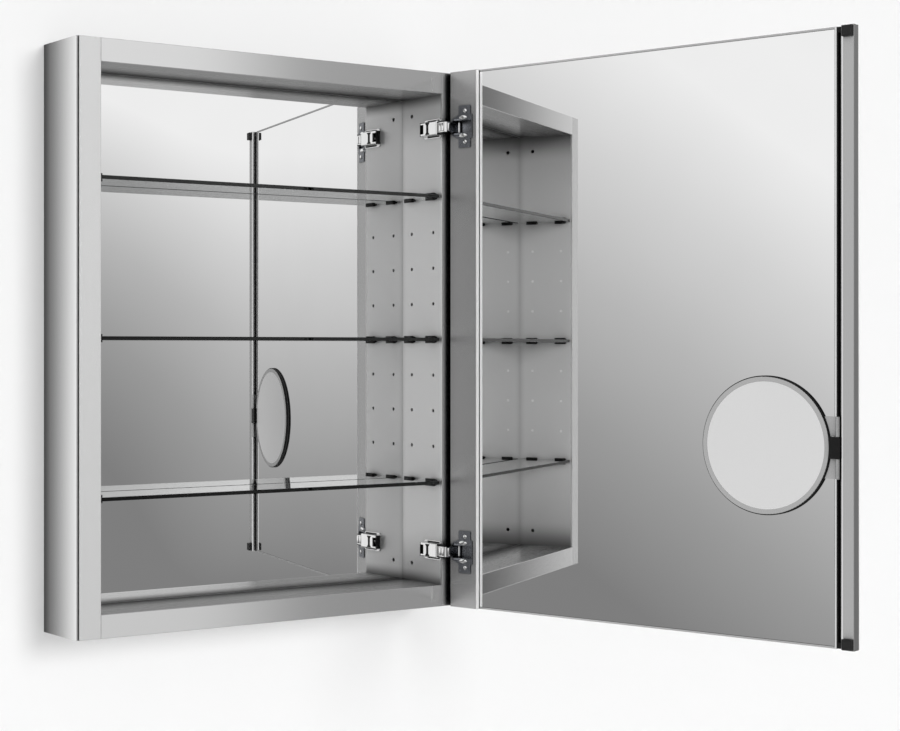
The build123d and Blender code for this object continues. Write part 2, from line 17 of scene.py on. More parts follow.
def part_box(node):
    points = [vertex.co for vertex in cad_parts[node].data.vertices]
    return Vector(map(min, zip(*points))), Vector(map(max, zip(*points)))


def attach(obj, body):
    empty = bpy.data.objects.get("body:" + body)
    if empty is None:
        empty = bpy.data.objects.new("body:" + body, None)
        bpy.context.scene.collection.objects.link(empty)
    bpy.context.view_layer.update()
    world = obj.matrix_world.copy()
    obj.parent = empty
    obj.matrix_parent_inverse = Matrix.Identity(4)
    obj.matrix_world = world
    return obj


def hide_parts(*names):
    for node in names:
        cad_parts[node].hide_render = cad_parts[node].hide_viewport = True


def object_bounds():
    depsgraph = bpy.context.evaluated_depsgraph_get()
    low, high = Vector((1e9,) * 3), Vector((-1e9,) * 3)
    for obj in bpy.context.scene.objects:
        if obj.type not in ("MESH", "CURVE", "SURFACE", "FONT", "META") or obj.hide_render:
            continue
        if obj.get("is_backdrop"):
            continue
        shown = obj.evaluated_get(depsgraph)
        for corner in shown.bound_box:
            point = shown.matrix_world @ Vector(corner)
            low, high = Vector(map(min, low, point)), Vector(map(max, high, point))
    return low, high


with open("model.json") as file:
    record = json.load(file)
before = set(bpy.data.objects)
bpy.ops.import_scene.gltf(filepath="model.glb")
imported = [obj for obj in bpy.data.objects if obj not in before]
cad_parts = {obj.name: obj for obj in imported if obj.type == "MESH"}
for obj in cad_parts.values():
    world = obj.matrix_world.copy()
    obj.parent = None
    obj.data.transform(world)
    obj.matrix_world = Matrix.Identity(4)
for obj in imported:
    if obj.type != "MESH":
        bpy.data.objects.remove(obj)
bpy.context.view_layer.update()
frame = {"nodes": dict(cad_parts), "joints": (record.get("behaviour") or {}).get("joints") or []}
nodes_by_name = frame["nodes"]

# %% [markdown]
# ## The camera
# The photograph was solved for its viewpoint: a level camera to the left of the cabinet,
# at the height of its middle. Its horizon and its vanishing column are not in the middle of
# the picture. The camera could be turned and tilted towards the middle, but that would change how level
# edges run together and make upright ones lean. The lens is shifted instead.

# %% Camera
PHOTO_WIDTH, PHOTO_HEIGHT = 900, 731
FOCAL_PIXELS = 1872.1
MIDDLE_COLUMN = 300.0
HORIZON_ROW = 349.26
SENSOR_MM = 36.0
CAMERA_PLACE = (-1.3795, -2.2057, -0.0141)
CAMERA_TURN = -0.5886

scene = bpy.context.scene
camera = bpy.data.objects.new("camera", bpy.data.cameras.new("camera"))
scene.collection.objects.link(camera)
camera.location = CAMERA_PLACE
camera.rotation_euler = (math.pi / 2, 0, CAMERA_TURN)
camera.data.sensor_width = SENSOR_MM
camera.data.lens = FOCAL_PIXELS * SENSOR_MM / PHOTO_WIDTH
camera.data.shift_x = (PHOTO_WIDTH / 2 - MIDDLE_COLUMN) / PHOTO_WIDTH
camera.data.shift_y = (HORIZON_ROW - PHOTO_HEIGHT / 2) / PHOTO_WIDTH
scene.camera = camera
scene.view_settings.view_transform = "Standard"
print("camera: lens", round(camera.data.lens, 2), "mm")

# %% [markdown]
# ## Small helpers for shader nodes
# A node tree can be wired by hand in the editor. In a script it is built by adding nodes and joining
# their sockets, which soon gets long, so a few helpers keep it short. `add` makes a node and sets its
# values, `join` links two sockets, `math_node` calculates, and `span` carries one range over to another.
# `ramp` turns a value into a grey, and `mix` turns one shader into another.
# `tone` gives the light that shows as a wanted value in the picture.

# %% Node helpers
def add(tree, kind, settings=None, **inputs):
    """A new shader node. An underscore in the name of an input stands for a space."""
    node = tree.nodes.new("ShaderNode" + kind)
    for name, value in (settings or {}).items():
        setattr(node, name, value)
    for name, value in inputs.items():
        node.inputs[name.replace("_", " ")].default_value = value
    return node


def join(tree, source, target):
    tree.links.new(source, target)


def math_node(tree, operation, first, second):
    """One calculation with two values, each a number or a socket."""
    node = add(tree, "Math", {"operation": operation})
    for socket, value in zip(node.inputs, (first, second)):
        if isinstance(value, (int, float)):
            socket.default_value = value
        else:
            join(tree, value, socket)
    return node.outputs[0]


def size_of(tree, value):
    """A value without its sign."""
    node = add(tree, "Math", {"operation": "ABSOLUTE"})
    join(tree, value, node.inputs[0])
    return node.outputs[0]


def span(tree, value, low, high, to_low, to_high, kind="LINEAR"):
    node = add(tree, "MapRange", {"interpolation_type": kind, "clamp": True})
    join(tree, value, node.inputs["Value"])
    names = ("From Min", "From Max", "To Min", "To Max")
    for name, number in zip(names, (low, high, to_low, to_high)):
        node.inputs[name].default_value = number
    return node.outputs["Result"]


def ramp(tree, value, stops):
    node = add(tree, "ValToRGB")
    join(tree, value, node.inputs["Fac"])
    elements = node.color_ramp.elements
    for place, _ in stops[len(elements):]:
        elements.new(place)
    for element, (place, light) in zip(elements, stops):
        element.position = place
        element.color = (light, light, light, 1)
    return node.outputs["Color"]


def mix(tree, share, first, second):
    """The first shader where the share is 0, the second where it is 1."""
    node = add(tree, "MixShader")
    for socket, source in zip(node.inputs, (share, first, second)):
        join(tree, source, socket)
    return node.outputs["Shader"]


def tone(step):
    """Linear light for a picture value between 0 and 255."""
    share = step / 255
    return share / 12.92 if share <= 0.04045 else ((share + 0.055) / 1.055) ** 2.4


print("a middle grey of 128 is", round(tone(128), 3), "of white's light")

# %% [markdown]
# ## The room
# The cabinet hangs on a white wall, and a pale floor lies well below. A whole room could be
# modelled, but the picture shows no more of it, so each is one plane. The wall lies just behind the
# back panel and takes the cabinet's soft shadow. Both are marked as the stage of the object.

# %% Wall and floor
WALL_HALF = 8.0
WALL_BEHIND = 0.0006
FLOOR_BELOW = 1.25
SQUARE = ((-1, -1), (1, -1), (1, 1), (-1, 1))


def plane(name, corners):
    mesh = bpy.data.meshes.new(name)
    form = bmesh.new()
    form.faces.new([form.verts.new(corner) for corner in corners])
    form.to_mesh(mesh)
    form.free()
    thing = bpy.data.objects.new(name, mesh)
    scene.collection.objects.link(thing)
    thing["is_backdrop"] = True
    print(name, "faces", tuple(round(v) for v in mesh.polygons[0].normal))
    return thing


wall = plane("wall", [(x * WALL_HALF, WALL_BEHIND, z * WALL_HALF) for x, z in SQUARE])
floor = plane("floor", [(x * WALL_HALF, y * WALL_HALF, -FLOOR_BELOW) for x, y in SQUARE])

# %% [markdown]
# ### Paint for the wall and the floor
# Both are matt white. Under a soft sun such a plane never turns out an even white, so for the
# camera alone the paint adds a share of its own white, and the rest still takes the shadow.
# Mirrors would show the bare planes, which is not how such a cabinet is lit in a studio. The planes
# could be left out, but then there would be no shadow. A clear shader is mixed in by kind of ray:
# the wall lets sharp reflections pass and the floor all of them, and the mirrors show the room's light.
# Seen from behind, both are clear, so that the back of the cabinet can be looked at too.

# %% Wall and floor paint
WALL_WHITE = 0.9
BACKGROUND = tone(249)
OWN_WHITE = 0.31


def new_material(name):
    material = bpy.data.materials.new(name)
    material.use_nodes = True
    material.node_tree.nodes.clear()
    return material, material.node_tree


def start_paint(name, hidden_from):
    """White paint, what the camera sees of it, and the share of rays that pass through it."""
    material, tree = new_material(name)
    matt = add(tree, "BsdfDiffuse", Color=(WALL_WHITE, WALL_WHITE, WALL_WHITE, 1))
    own_white = add(tree, "Emission", Strength=BACKGROUND)
    path = add(tree, "LightPath")
    for_camera = math_node(tree, "MULTIPLY", path.outputs["Is Camera Ray"], OWN_WHITE)
    seen = mix(tree, for_camera, matt.outputs["BSDF"], own_white.outputs["Emission"])
    from_behind = add(tree, "NewGeometry").outputs["Backfacing"]
    passing = math_node(tree, "MAXIMUM", from_behind, path.outputs[hidden_from])
    return material, path, seen, passing


def finish_paint(thing, material, seen, passing):
    """Adds the clear shader, and paints a plane with the result."""
    tree = material.node_tree
    clear = add(tree, "BsdfTransparent")
    shown = mix(tree, passing, seen, clear.outputs["BSDF"])
    join(tree, shown, add(tree, "OutputMaterial").inputs["Surface"])
    thing.data.materials.append(material)
    print(thing.name, "painted with", material.name)


floor_paint, _, floor_seen, floor_passing = start_paint("floor_paint", "Is Glossy Ray")
finish_paint(floor, floor_paint, floor_seen, floor_passing)

# %% [markdown]
# ### What satin metal sees of the wall
# Satin aluminium blurs what it reflects. Beside the cabinet that is the wall: dark in the narrow shade
# along the cabinet, bright a little further out, and dimmer far away. Lamps and their shadows could give
# those tones, but hardly to order. Here blurred reflections see a glow on the wall instead, worked
# out from the distance to the cabinet's outline. Behind the cabinet the wall is left open.

# %% Wall glow
HALF_WIDTH = max(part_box("right_side_cover")[1].x, -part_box("left_side_cover")[0].x)
HALF_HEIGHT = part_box("top_panel")[1].z
HOLE_INSET = 0.001
CONTACT_REACH, CONTACT_CURVE = 0.058, 1.6
CONTACT_DARK, CONTACT_LIGHT = 0.14, 1.25
FAR_REACH, FAR_LIGHT = 0.5, 0.58
END_LIGHT = 0.7
RIGHT_NEAR, RIGHT_FAR, RIGHT_LIGHT = 0.7, 1.2, 0.35

wall_paint, wall_path, wall_seen, wall_passing = start_paint("wall_paint", "Is Singular Ray")
wall_tree = wall_paint.node_tree
axes = add(wall_tree, "SeparateXYZ")
join(wall_tree, add(wall_tree, "TexCoord").outputs["Object"], axes.inputs["Vector"])
past_side = math_node(wall_tree, "SUBTRACT", size_of(wall_tree, axes.outputs["X"]), HALF_WIDTH)
past_end = math_node(wall_tree, "SUBTRACT", size_of(wall_tree, axes.outputs["Z"]), HALF_HEIGHT)
beyond = math_node(wall_tree, "MAXIMUM", past_side, past_end)
over_end = math_node(wall_tree, "GREATER_THAN", past_end, past_side)
leaving = span(wall_tree, beyond, 0, CONTACT_REACH, 0, 1)
curved = math_node(wall_tree, "POWER", leaving, CONTACT_CURVE)
level = span(wall_tree, curved, 0, 1, CONTACT_DARK, CONTACT_LIGHT)
far_drop = span(wall_tree, beyond, CONTACT_REACH, FAR_REACH, 1, FAR_LIGHT)
end_drop = span(wall_tree, over_end, 0, 1, 1, END_LIGHT)
right_drop = span(wall_tree, axes.outputs["X"], RIGHT_NEAR, RIGHT_FAR, 1, RIGHT_LIGHT)
for drop in (far_drop, end_drop, right_drop):
    level = math_node(wall_tree, "MULTIPLY", level, drop)
glow = add(wall_tree, "Emission")
join(wall_tree, level, glow.inputs["Strength"])
in_satin = mix(wall_tree, wall_path.outputs["Is Glossy Ray"], wall_seen, glow.outputs["Emission"])
covered = math_node(wall_tree, "LESS_THAN", beyond, -HOLE_INSET)
open_wall = math_node(wall_tree, "MAXIMUM", wall_passing, covered)
finish_paint(wall, wall_paint, in_satin, open_wall)

# %% [markdown]
# ## The light
# A studio for mirrors is lit with big graded panels. They could be modelled as lamps, but a mirror
# shows the edges of every lamp. Here the world itself is the panels: its light depends on the direction,
# and each kind of ray gets its own part of it. Directions are turns in degrees on a compass
# whose north is the wall's side and whose east is the cabinet's right.

# %% Directions in the world
world = bpy.data.worlds.new("studio")
scene.world = world
world.use_nodes = True
sky = world.node_tree
sky.nodes.clear()
direction = add(sky, "TexCoord").outputs["Generated"]
heading = add(sky, "SeparateXYZ")
join(sky, direction, heading.inputs["Vector"])
compass = math_node(sky, "ARCTAN2", heading.outputs["X"], heading.outputs["Y"])
turned = math_node(sky, "FLOORED_MODULO", compass, 2 * math.pi)


def towards(turn, wide):
    """Rises smoothly from 0 to 1 within so many degrees of a compass turn."""
    angle = math.radians(turn)
    product = add(sky, "VectorMath", {"operation": "DOT_PRODUCT"})
    join(sky, direction, product.inputs[0])
    product.inputs[1].default_value = (math.sin(angle), math.cos(angle), 0)
    least = math.cos(math.radians(wide))
    return span(sky, product.outputs["Value"], least, 1, 0, 1, "SMOOTHSTEP")


print("world", world.name, "has its compass")

# %% [markdown]
# ### Light for the mirrors
# In a sharp mirror the tone rises from grey below the horizon to near white above it. A dark flag
# stands in front, a bright card at the front left, and the light at the left falls off towards the wall.
# These slow gradients are what makes a mirror read as a mirror. They could be set as light, but the eye
# judges picture values, so picture values are added up and turned into light at the end.

# %% Mirror light
GREY_LOW, HORIZON_TONE, WHITE_HIGH = 128, 190, 241
FRONT_SLOPE, BACK_SLOPE, SLOPE_BAND = 490, 380, 0.1
FLAG_TURN, FLAG_WIDE, FLAG_DROP = 160, 13.4, 50
CARD_TURN, CARD_WIDE, CARD_RISE = 219, 28, 110
SIDE_NEAR, SIDE_FAR = 0.10, 0.35
SIDE_RISE, SIDE_DROP = 42, -33
TONE_STEPS = 4

flag = math_node(sky, "MULTIPLY", towards(FLAG_TURN, FLAG_WIDE), -FLAG_DROP)
card = towards(CARD_TURN, CARD_WIDE)
card_tone = math_node(sky, "MULTIPLY", card, CARD_RISE)
on_left = math_node(sky, "LESS_THAN", heading.outputs["X"], 0)
to_wall = span(sky, heading.outputs["Y"], -SIDE_NEAR, SIDE_NEAR, 0, 1)
side_tone = span(sky, heading.outputs["Y"], SIDE_NEAR, SIDE_FAR, SIDE_RISE, SIDE_DROP)
for limit in (on_left, to_wall):
    side_tone = math_node(sky, "MULTIPLY", side_tone, limit)
slope = span(sky, heading.outputs["Y"], -SLOPE_BAND, SLOPE_BAND, FRONT_SLOPE, BACK_SLOPE)
rise = math_node(sky, "MULTIPLY", heading.outputs["Z"], slope)
graded = math_node(sky, "ADD", rise, HORIZON_TONE)
for extra in (flag, side_tone, card_tone):
    graded = math_node(sky, "ADD", graded, extra)
shares = [step / TONE_STEPS for step in range(TONE_STEPS + 1)]
tones = [(share, tone(GREY_LOW + (WHITE_HIGH - GREY_LOW) * share)) for share in shares]
mirror_light = ramp(sky, span(sky, graded, GREY_LOW, WHITE_HIGH, 0, 1), tones)
room = add(sky, "Background", Strength=1)
join(sky, mirror_light, room.inputs["Color"])
print("mirrors see tones from", GREY_LOW, "to", WHITE_HIGH)

# %% [markdown]
# ### Light for satin metal
# The satin rails and stiles are bright at one end and dark at the other, because they blur a bright room
# with a few dark panels in it. Black boards could stand in the scene, but the mirrors would show
# them too. So blurred reflections get a light of their own, dimmed towards the card and between
# some compass turns.

# %% Satin light
SATIN_LIGHT, SATIN_DARK, CARD_LIGHT = 0.82, 0.40, 0.44
FIRST_PANEL = (60, 147.5, 1.5)
SECOND_PANEL, SECOND_SHARE = (240, 251.0, 1.2), 0.16
THIRD_PANEL, THIRD_SHARE = (172, 184.7, 1.8), 0.25
DARKEST_TURN, DARKEST_SHARE = 100, 0.72
OPENING_EDGES = 4
SATIN_BAND, SATIN_BELOW, SATIN_ABOVE = 0.16, 0.80, 1.0
PLAIN_WHITE = (1, 1, 1, 1)


def dark_panel(begin, end, edge):
    """1 between two compass turns. It opens over a broader edge than it closes."""
    soft = OPENING_EDGES * edge
    opening = span(sky, turned, math.radians(begin - soft), math.radians(begin + soft), 0, 1)
    closing = span(sky, turned, math.radians(end - edge), math.radians(end + edge), 1, 0)
    return math_node(sky, "MULTIPLY", opening, closing)


open_light = span(sky, card, 0, 1, SATIN_LIGHT, CARD_LIGHT)
first = math_node(sky, "MULTIPLY", dark_panel(*FIRST_PANEL), SATIN_DARK - SATIN_LIGHT)
second = span(sky, dark_panel(*SECOND_PANEL), 0, 1, 1, SECOND_SHARE)
third = span(sky, dark_panel(*THIRD_PANEL), 0, 1, 1, THIRD_SHARE)
first_end = math.radians(FIRST_PANEL[1])
darkest = span(sky, turned, math.radians(DARKEST_TURN), first_end, DARKEST_SHARE, 1)
lower = span(sky, heading.outputs["Z"], -SATIN_BAND, SATIN_BAND, SATIN_BELOW, SATIN_ABOVE)
panels = math_node(sky, "ADD", open_light, first)
for drop in (second, third, darkest, lower):
    panels = math_node(sky, "MULTIPLY", panels, drop)
satin = add(sky, "Background", Color=PLAIN_WHITE)
join(sky, panels, satin.inputs["Strength"])
print("satin metal sees light from", SATIN_DARK, "to", SATIN_LIGHT)

# %% [markdown]
# ### Which ray sees which light
# Matt surfaces are lit by a plain, even light. Blurred reflections then take the satin light, sharp ones
# and clear glass the graded tones, and the camera plain white. Each test replaces what
# the one before it chose, so the last one that holds for a ray decides.

# %% Light for each kind of ray
MATT_LIGHT = 0.46
plain = add(sky, "Background", Color=PLAIN_WHITE, Strength=MATT_LIGHT)
white = add(sky, "Background", Color=PLAIN_WHITE, Strength=BACKGROUND)
ray = add(sky, "LightPath")
shown = plain.outputs[0]
for test, light in (("Is Glossy Ray", satin), ("Is Singular Ray", room), ("Is Camera Ray", white)):
    shown = mix(sky, ray.outputs[test], shown, light.outputs[0])
join(sky, shown, add(sky, "OutputWorld").inputs["Surface"])
print("world built with", len(sky.nodes), "nodes")

# %% [markdown]
# ### The sun
# The cabinet's shadow on the wall is soft and falls to the lower left. An area lamp could throw it, but its
# light would fade across the wall. A sun with a broad disc stays even. It stands in front, a little up and
# to the right, and is hidden from reflections and glass, so that no hot spot shows in them.

# %% Sun
SUN_STRENGTH = 1.76
SUN_SPREAD = 24
SUN_RIGHT, SUN_UP = 15, 16

sun = bpy.data.objects.new("sun", bpy.data.lights.new("sun", "SUN"))
scene.collection.objects.link(sun)
sun.data.energy = SUN_STRENGTH
sun.data.angle = math.radians(SUN_SPREAD)
to_sun = Vector((math.tan(math.radians(SUN_RIGHT)), -1, math.tan(math.radians(SUN_UP))))
sun.rotation_euler = to_sun.to_track_quat("Z", "Y").to_euler()
sun.visible_glossy = False
sun.visible_transmission = False
print("sun stands towards", [round(v, 2) for v in to_sun.normalized()])

# %% [markdown]
# ## Finishes
# Each finish is one material. Brushed grain and the shade in the cabinet's corners turn up on several of
# them. They could be wired anew in each, but as shader node groups they are built once and
# then placed with their own values.

# %% Node groups
def make_group(name, inputs, outputs):
    group = bpy.data.node_groups.new(name, "ShaderNodeTree")
    for label, kind, value in inputs:
        socket = group.interface.new_socket(label, in_out="INPUT", socket_type="NodeSocket" + kind)
        if value is not None:
            socket.default_value = value
    for label, kind in outputs:
        group.interface.new_socket(label, in_out="OUTPUT", socket_type="NodeSocket" + kind)
    print("group", name, "puts out", [label for label, _ in outputs])
    return group, group.nodes.new("NodeGroupInput"), group.nodes.new("NodeGroupOutput")


def place_group(tree, group, place, **values):
    """A group in a material, reading a place. An underscore stands for a space."""
    node = tree.nodes.new("ShaderNodeGroup")
    node.node_tree = group
    join(tree, place, node.inputs["Place"])
    for label, value in values.items():
        node.inputs[label.replace("_", " ")].default_value = value
    return node


print("groups are made by make_group and placed by place_group")

# %% [markdown]
# ### Brushed grain
# The aluminium was brushed, which leaves fine lines in one direction, and handling leaves faint clouds. A
# photograph of metal could be laid on, but it would need a file and would show its borders.
# Noise that is squeezed along one axis gives the lines, and a slow noise gives the clouds.

# %% Grain group
LINE_DETAIL, LINE_BREAKS = 3.0, 0.6
CLOUDS_PER_METRE, CLOUD_DETAIL = 9.0, 2.0
LINES_PER_METRE = 2200.0

grain, grain_in, grain_out = make_group(
    "brushed_grain",
    [("Place", "Vector", None), ("Stretch", "Vector", (1, 1, 1)),
     ("Lines per metre", "Float", LINES_PER_METRE)],
    [("Lines", "Float"), ("Clouds", "Float")])
stretched = add(grain, "VectorMath", {"operation": "MULTIPLY"})
join(grain, grain_in.outputs["Place"], stretched.inputs[0])
join(grain, grain_in.outputs["Stretch"], stretched.inputs[1])
fine_noise = add(grain, "TexNoise", Detail=LINE_DETAIL, Roughness=LINE_BREAKS)
join(grain, stretched.outputs["Vector"], fine_noise.inputs["Vector"])
join(grain, grain_in.outputs["Lines per metre"], fine_noise.inputs["Scale"])
slow_noise = add(grain, "TexNoise", Scale=CLOUDS_PER_METRE, Detail=CLOUD_DETAIL)
join(grain, grain_in.outputs["Place"], slow_noise.inputs["Vector"])
join(grain, fine_noise.outputs["Fac"], grain_out.inputs["Lines"])
join(grain, slow_noise.outputs["Fac"], grain_out.inputs["Clouds"])

# %% [markdown]
# ### Painted shade in the corners
# The sheets inside the cabinet darken where they meet. The renderer's own shadows give part of that, and the
# rest is painted shade in their colour. The group measures how far a point is from a corner, along one axis
# and on both sides of the middle, and fades from the darkest value to 1.

# %% Corner group
corner, corner_in, corner_out = make_group(
    "corner_shade",
    [("Place", "Vector", None), ("Axis", "Vector", (0, 0, 1)), ("Corner", "Float", 0.0),
     ("Reach", "Float", 0.05), ("Darkest", "Float", 0.3)],
    [("Shade", "Float")])
along = add(corner, "VectorMath", {"operation": "DOT_PRODUCT"})
join(corner, corner_in.outputs["Place"], along.inputs[0])
join(corner, corner_in.outputs["Axis"], along.inputs[1])
outward = size_of(corner, along.outputs["Value"])
short_of = math_node(corner, "SUBTRACT", outward, corner_in.outputs["Corner"])
away = math_node(corner, "DIVIDE", size_of(corner, short_of), corner_in.outputs["Reach"])
fade = add(corner, "MapRange", {"interpolation_type": "SMOOTHSTEP", "clamp": True})
join(corner, away, fade.inputs["Value"])
join(corner, corner_in.outputs["Darkest"], fade.inputs["To Min"])
join(corner, fade.outputs["Result"], corner_out.inputs["Shade"])

# %% [markdown]
# ### One builder for metal, sheet and plastic
# Satin metal, painted sheet and black moulding differ in tone, roughness and grain, but are made of the same
# steps. Each could have its own tree. One builder with named values keeps them alike: the grain mixes two
# tones and moves the roughness and a slight bump, and painted shade darkens the colour in narrow places.

# %% Grained finish
LINE_SHARE = 0.5
LINE_LOW, LINE_HIGH = 0.3, 0.7
GRAIN_DEPTH = 0.0002
HOLLOW_SAMPLES = 8


def start(name):
    material, tree = new_material(name)
    skin = add(tree, "BsdfPrincipled")
    join(tree, skin.outputs["BSDF"], add(tree, "OutputMaterial").inputs["Surface"])
    return material, tree, skin


def hollows(tree, where, hollow, shades):
    """Painted shade: 1 in the open, less in narrow places and near the named corners."""
    reach, depth = hollow
    open_sky = add(tree, "AmbientOcclusion", {"samples": HOLLOW_SAMPLES}, Distance=reach)
    openness = math_node(tree, "POWER", open_sky.outputs["AO"], depth)
    for shade in shades:
        nook = place_group(tree, corner, where, **shade)
        openness = math_node(tree, "MULTIPLY", openness, nook.outputs["Shade"])
    return openness


def grained(name, tones, rough, stretch, metallic, lines=LINES_PER_METRE, bump=0.01, turn=0.0,
            hollow=(0.02, 1.2), shades=(), drawn=None, shade_takes_shine=False, gloss=None):
    material, tree, skin = start(name)
    where = add(tree, "TexCoord").outputs["Object"]
    mapping = add(tree, "Mapping", Rotation=(0, 0, turn))
    join(tree, where, mapping.inputs["Vector"])
    group = place_group(tree, grain, mapping.outputs["Vector"], Stretch=stretch, Lines_per_metre=lines)
    line_part = math_node(tree, "MULTIPLY", group.outputs["Lines"], LINE_SHARE)
    cloud_part = math_node(tree, "MULTIPLY", group.outputs["Clouds"], 1 - LINE_SHARE)
    blend = add(tree, "Mix", {"data_type": "RGBA"})
    join(tree, math_node(tree, "ADD", line_part, cloud_part), blend.inputs["Factor"])
    for label, colour in zip("AB", tones):
        blend.inputs[label].default_value = (*colour, 1)
    # painted shade: the colour is darkened in narrow places and near the named corners
    openness = hollows(tree, where, hollow, shades)
    shaded = add(tree, "Mix", {"data_type": "RGBA", "blend_type": "MULTIPLY"}, Factor=1)
    join(tree, blend.outputs["Result"], shaded.inputs["A"])
    join(tree, openness, shaded.inputs["B"])
    join(tree, shaded.outputs["Result"], skin.inputs["Base Color"])
    roughness = span(tree, group.outputs["Lines"], LINE_LOW, LINE_HIGH, *rough)
    join(tree, roughness, skin.inputs["Roughness"])
    skin.inputs["Metallic"].default_value = metallic
    # where the painted shade darkens, it also takes away the metal's shine
    if shade_takes_shine:
        join(tree, openness, skin.inputs["Metallic"])
        skin.inputs["Specular IOR Level"].default_value = 0
    if gloss is not None:
        skin.inputs["Specular IOR Level"].default_value = gloss
    if drawn:
        skin.inputs["Anisotropic"].default_value = drawn
        tangent = add(tree, "Tangent", {"direction_type": "RADIAL", "axis": "X"})
        join(tree, tangent.outputs["Tangent"], skin.inputs["Tangent"])
    height = add(tree, "Bump", Strength=bump, Distance=GRAIN_DEPTH)
    join(tree, group.outputs["Lines"], height.inputs["Height"])
    join(tree, height.outputs["Normal"], skin.inputs["Normal"])
    print("finish", name)
    return material


def greys(dark, light):
    return (dark, dark, dark), (light, light, light)


print("hollows are measured with", HOLLOW_SAMPLES, "samples")

# %% [markdown]
# ### Satin aluminium
# The cabinet's covers, stiles and rails and the frame of the door are satin aluminium. One metal for
# all would be simpler, but the door's frame is darker, and the grain follows each bar. The rails were
# drawn lengthwise, so their reflections are smeared along one direction more than the other.

# %% Satin metals
UPRIGHT, ACROSS, EVEN = (1, 1, 0.02), (0.02, 1, 1), (1, 1, 1)
SATIN, DRAWN = (0.25, 0.27), (0.11, 0.13)
COVER_GREY, RAIL_GREY, DOOR_GREY = greys(0.84, 0.86), greys(0.83, 0.86), greys(0.58, 0.60)
METAL, STILE_METAL, PAINT = 1.0, 0.82, 0.0
RAIL_SMEAR = 0.8
swing = next(joint for joint in frame["joints"] if joint["name"] == "door_swing")
DOOR_OPEN = math.radians(-swing["range_deg"][0])

satin_upright = grained("satin_aluminium_upright", COVER_GREY, SATIN, UPRIGHT, METAL, bump=0.002)
stile_satin = grained("stile_aluminium", COVER_GREY, SATIN, UPRIGHT, STILE_METAL, bump=0.002)
satin_across = grained("satin_aluminium_across", RAIL_GREY, DRAWN, ACROSS, METAL, bump=0.003,
                       drawn=RAIL_SMEAR)
door_upright = grained("door_aluminium_upright", DOOR_GREY, SATIN, UPRIGHT, METAL, bump=0.003)
door_across = grained("door_aluminium_across", DOOR_GREY, SATIN, ACROSS, METAL, turn=DOOR_OPEN)

# %% [markdown]
# ### The sheets inside
# The walls inside are pale sheets, the ceiling and the floor a darker metal that painted shade darkens and
# robs of its shine towards the back. The walls could share one finish, but they are a lit and a shaded copy
# of it: the right one, which the sun doesn't reach, is painted lighter and shinier, and the left one, only
# seen in the door's mirror, darker and duller. Painted shade darkens all of them in the corners, each over
# its own reach.

# %% Inner sheets
OPEN_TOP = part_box("left_inner_wall")[1].z
MIRROR_FACE = -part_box("back_mirror")[0].y
UP_AXIS, BACK_AXIS = (0, 0, 1), (0, 1, 0)
# painted shade near the ceiling and the floor, and towards the back mirror
NEAR_ENDS = dict(Axis=UP_AXIS, Corner=OPEN_TOP, Reach=0.045, Darkest=0.28)
FAR_FROM_ENDS = dict(Axis=UP_AXIS, Corner=OPEN_TOP, Reach=0.16, Darkest=0.72)
CLOSE_TO_ENDS = dict(Axis=UP_AXIS, Corner=OPEN_TOP, Reach=0.020, Darkest=0.28)
TO_THE_BACK = dict(Axis=BACK_AXIS, Corner=MIRROR_FACE, Reach=0.058, Darkest=0.20)
# lit and shaded copies of one sheet: the right wall painted lighter, the left one darker
LEFT_SHADED_GREY, RIGHT_LIT_GREY, END_GREY = greys(0.73, 0.77), greys(0.88, 0.92), greys(0.49, 0.52)
LEFT_ROUGH, RIGHT_ROUGH, END_ROUGH = (0.45, 0.50), (0.42, 0.46), (0.26, 0.30)
LEFT_METAL, RIGHT_METAL = 0.1, 0.5
WALL_HOLLOW, END_HOLLOW = (0.01, 0.3), (0.02, 0.5)

inner_left = grained("inner_sheet_left", LEFT_SHADED_GREY, LEFT_ROUGH, EVEN, LEFT_METAL,
                     hollow=WALL_HOLLOW, shades=[NEAR_ENDS, FAR_FROM_ENDS])
inner_right = grained("inner_sheet_right", RIGHT_LIT_GREY, RIGHT_ROUGH, EVEN, RIGHT_METAL,
                      hollow=WALL_HOLLOW, shades=[CLOSE_TO_ENDS])
inner_end = grained("inner_end_sheet", END_GREY, END_ROUGH, ACROSS, METAL, bump=0.004,
                    hollow=END_HOLLOW, shades=[TO_THE_BACK], shade_takes_shine=True)

# %% [markdown]
# ### Hardware
# The hinges are bright and dark plated, the clips, track and disc are black moulded plastic, and thin pale
# trims run along the door. The same black paints shade on the hinges, and the trims and some bright plating
# paint highlights. Bright plating has no roughness at all, so it counts as a sharp mirror and shows the
# graded tones. The plastic gets a coarser grain and more bump than metal.

# %% Plating, plastic and trims
PLATE_HOLLOW, CUP_HOLLOW, TRIM_HOLLOW = (0.006, 1.0), (0.008, 0.9), (0.002, 0.1)
BRIGHT_GREY = greys(0.84, 0.94)
DARK_PLATE = ((0.22, 0.23, 0.25), (0.33, 0.34, 0.37))
# this black is the moulded plastic and also the painted shade of the black pieces on the hinges
MOULDED_AND_SHADE, RUBBER, BOARD = greys(0.006, 0.012), greys(0.008, 0.016), greys(0.30, 0.42)
# the pale and the bright trim greys are painted highlight
PALE, HIGHLIGHT_GREY = greys(0.94, 0.97), greys(0.92, 0.96)
POLISHED, CUP_ROUGH = (0, 0), (0.20, 0.30)
MOULDED_ROUGH, RUBBER_ROUGH, BOARD_ROUGH = (0.38, 0.50), (0.55, 0.70), (0.6, 0.8)
PALE_ROUGH, HIGHLIGHT_ROUGH = (0.35, 0.40), (0.28, 0.32)
MOULDING_GLOSS = 0.22

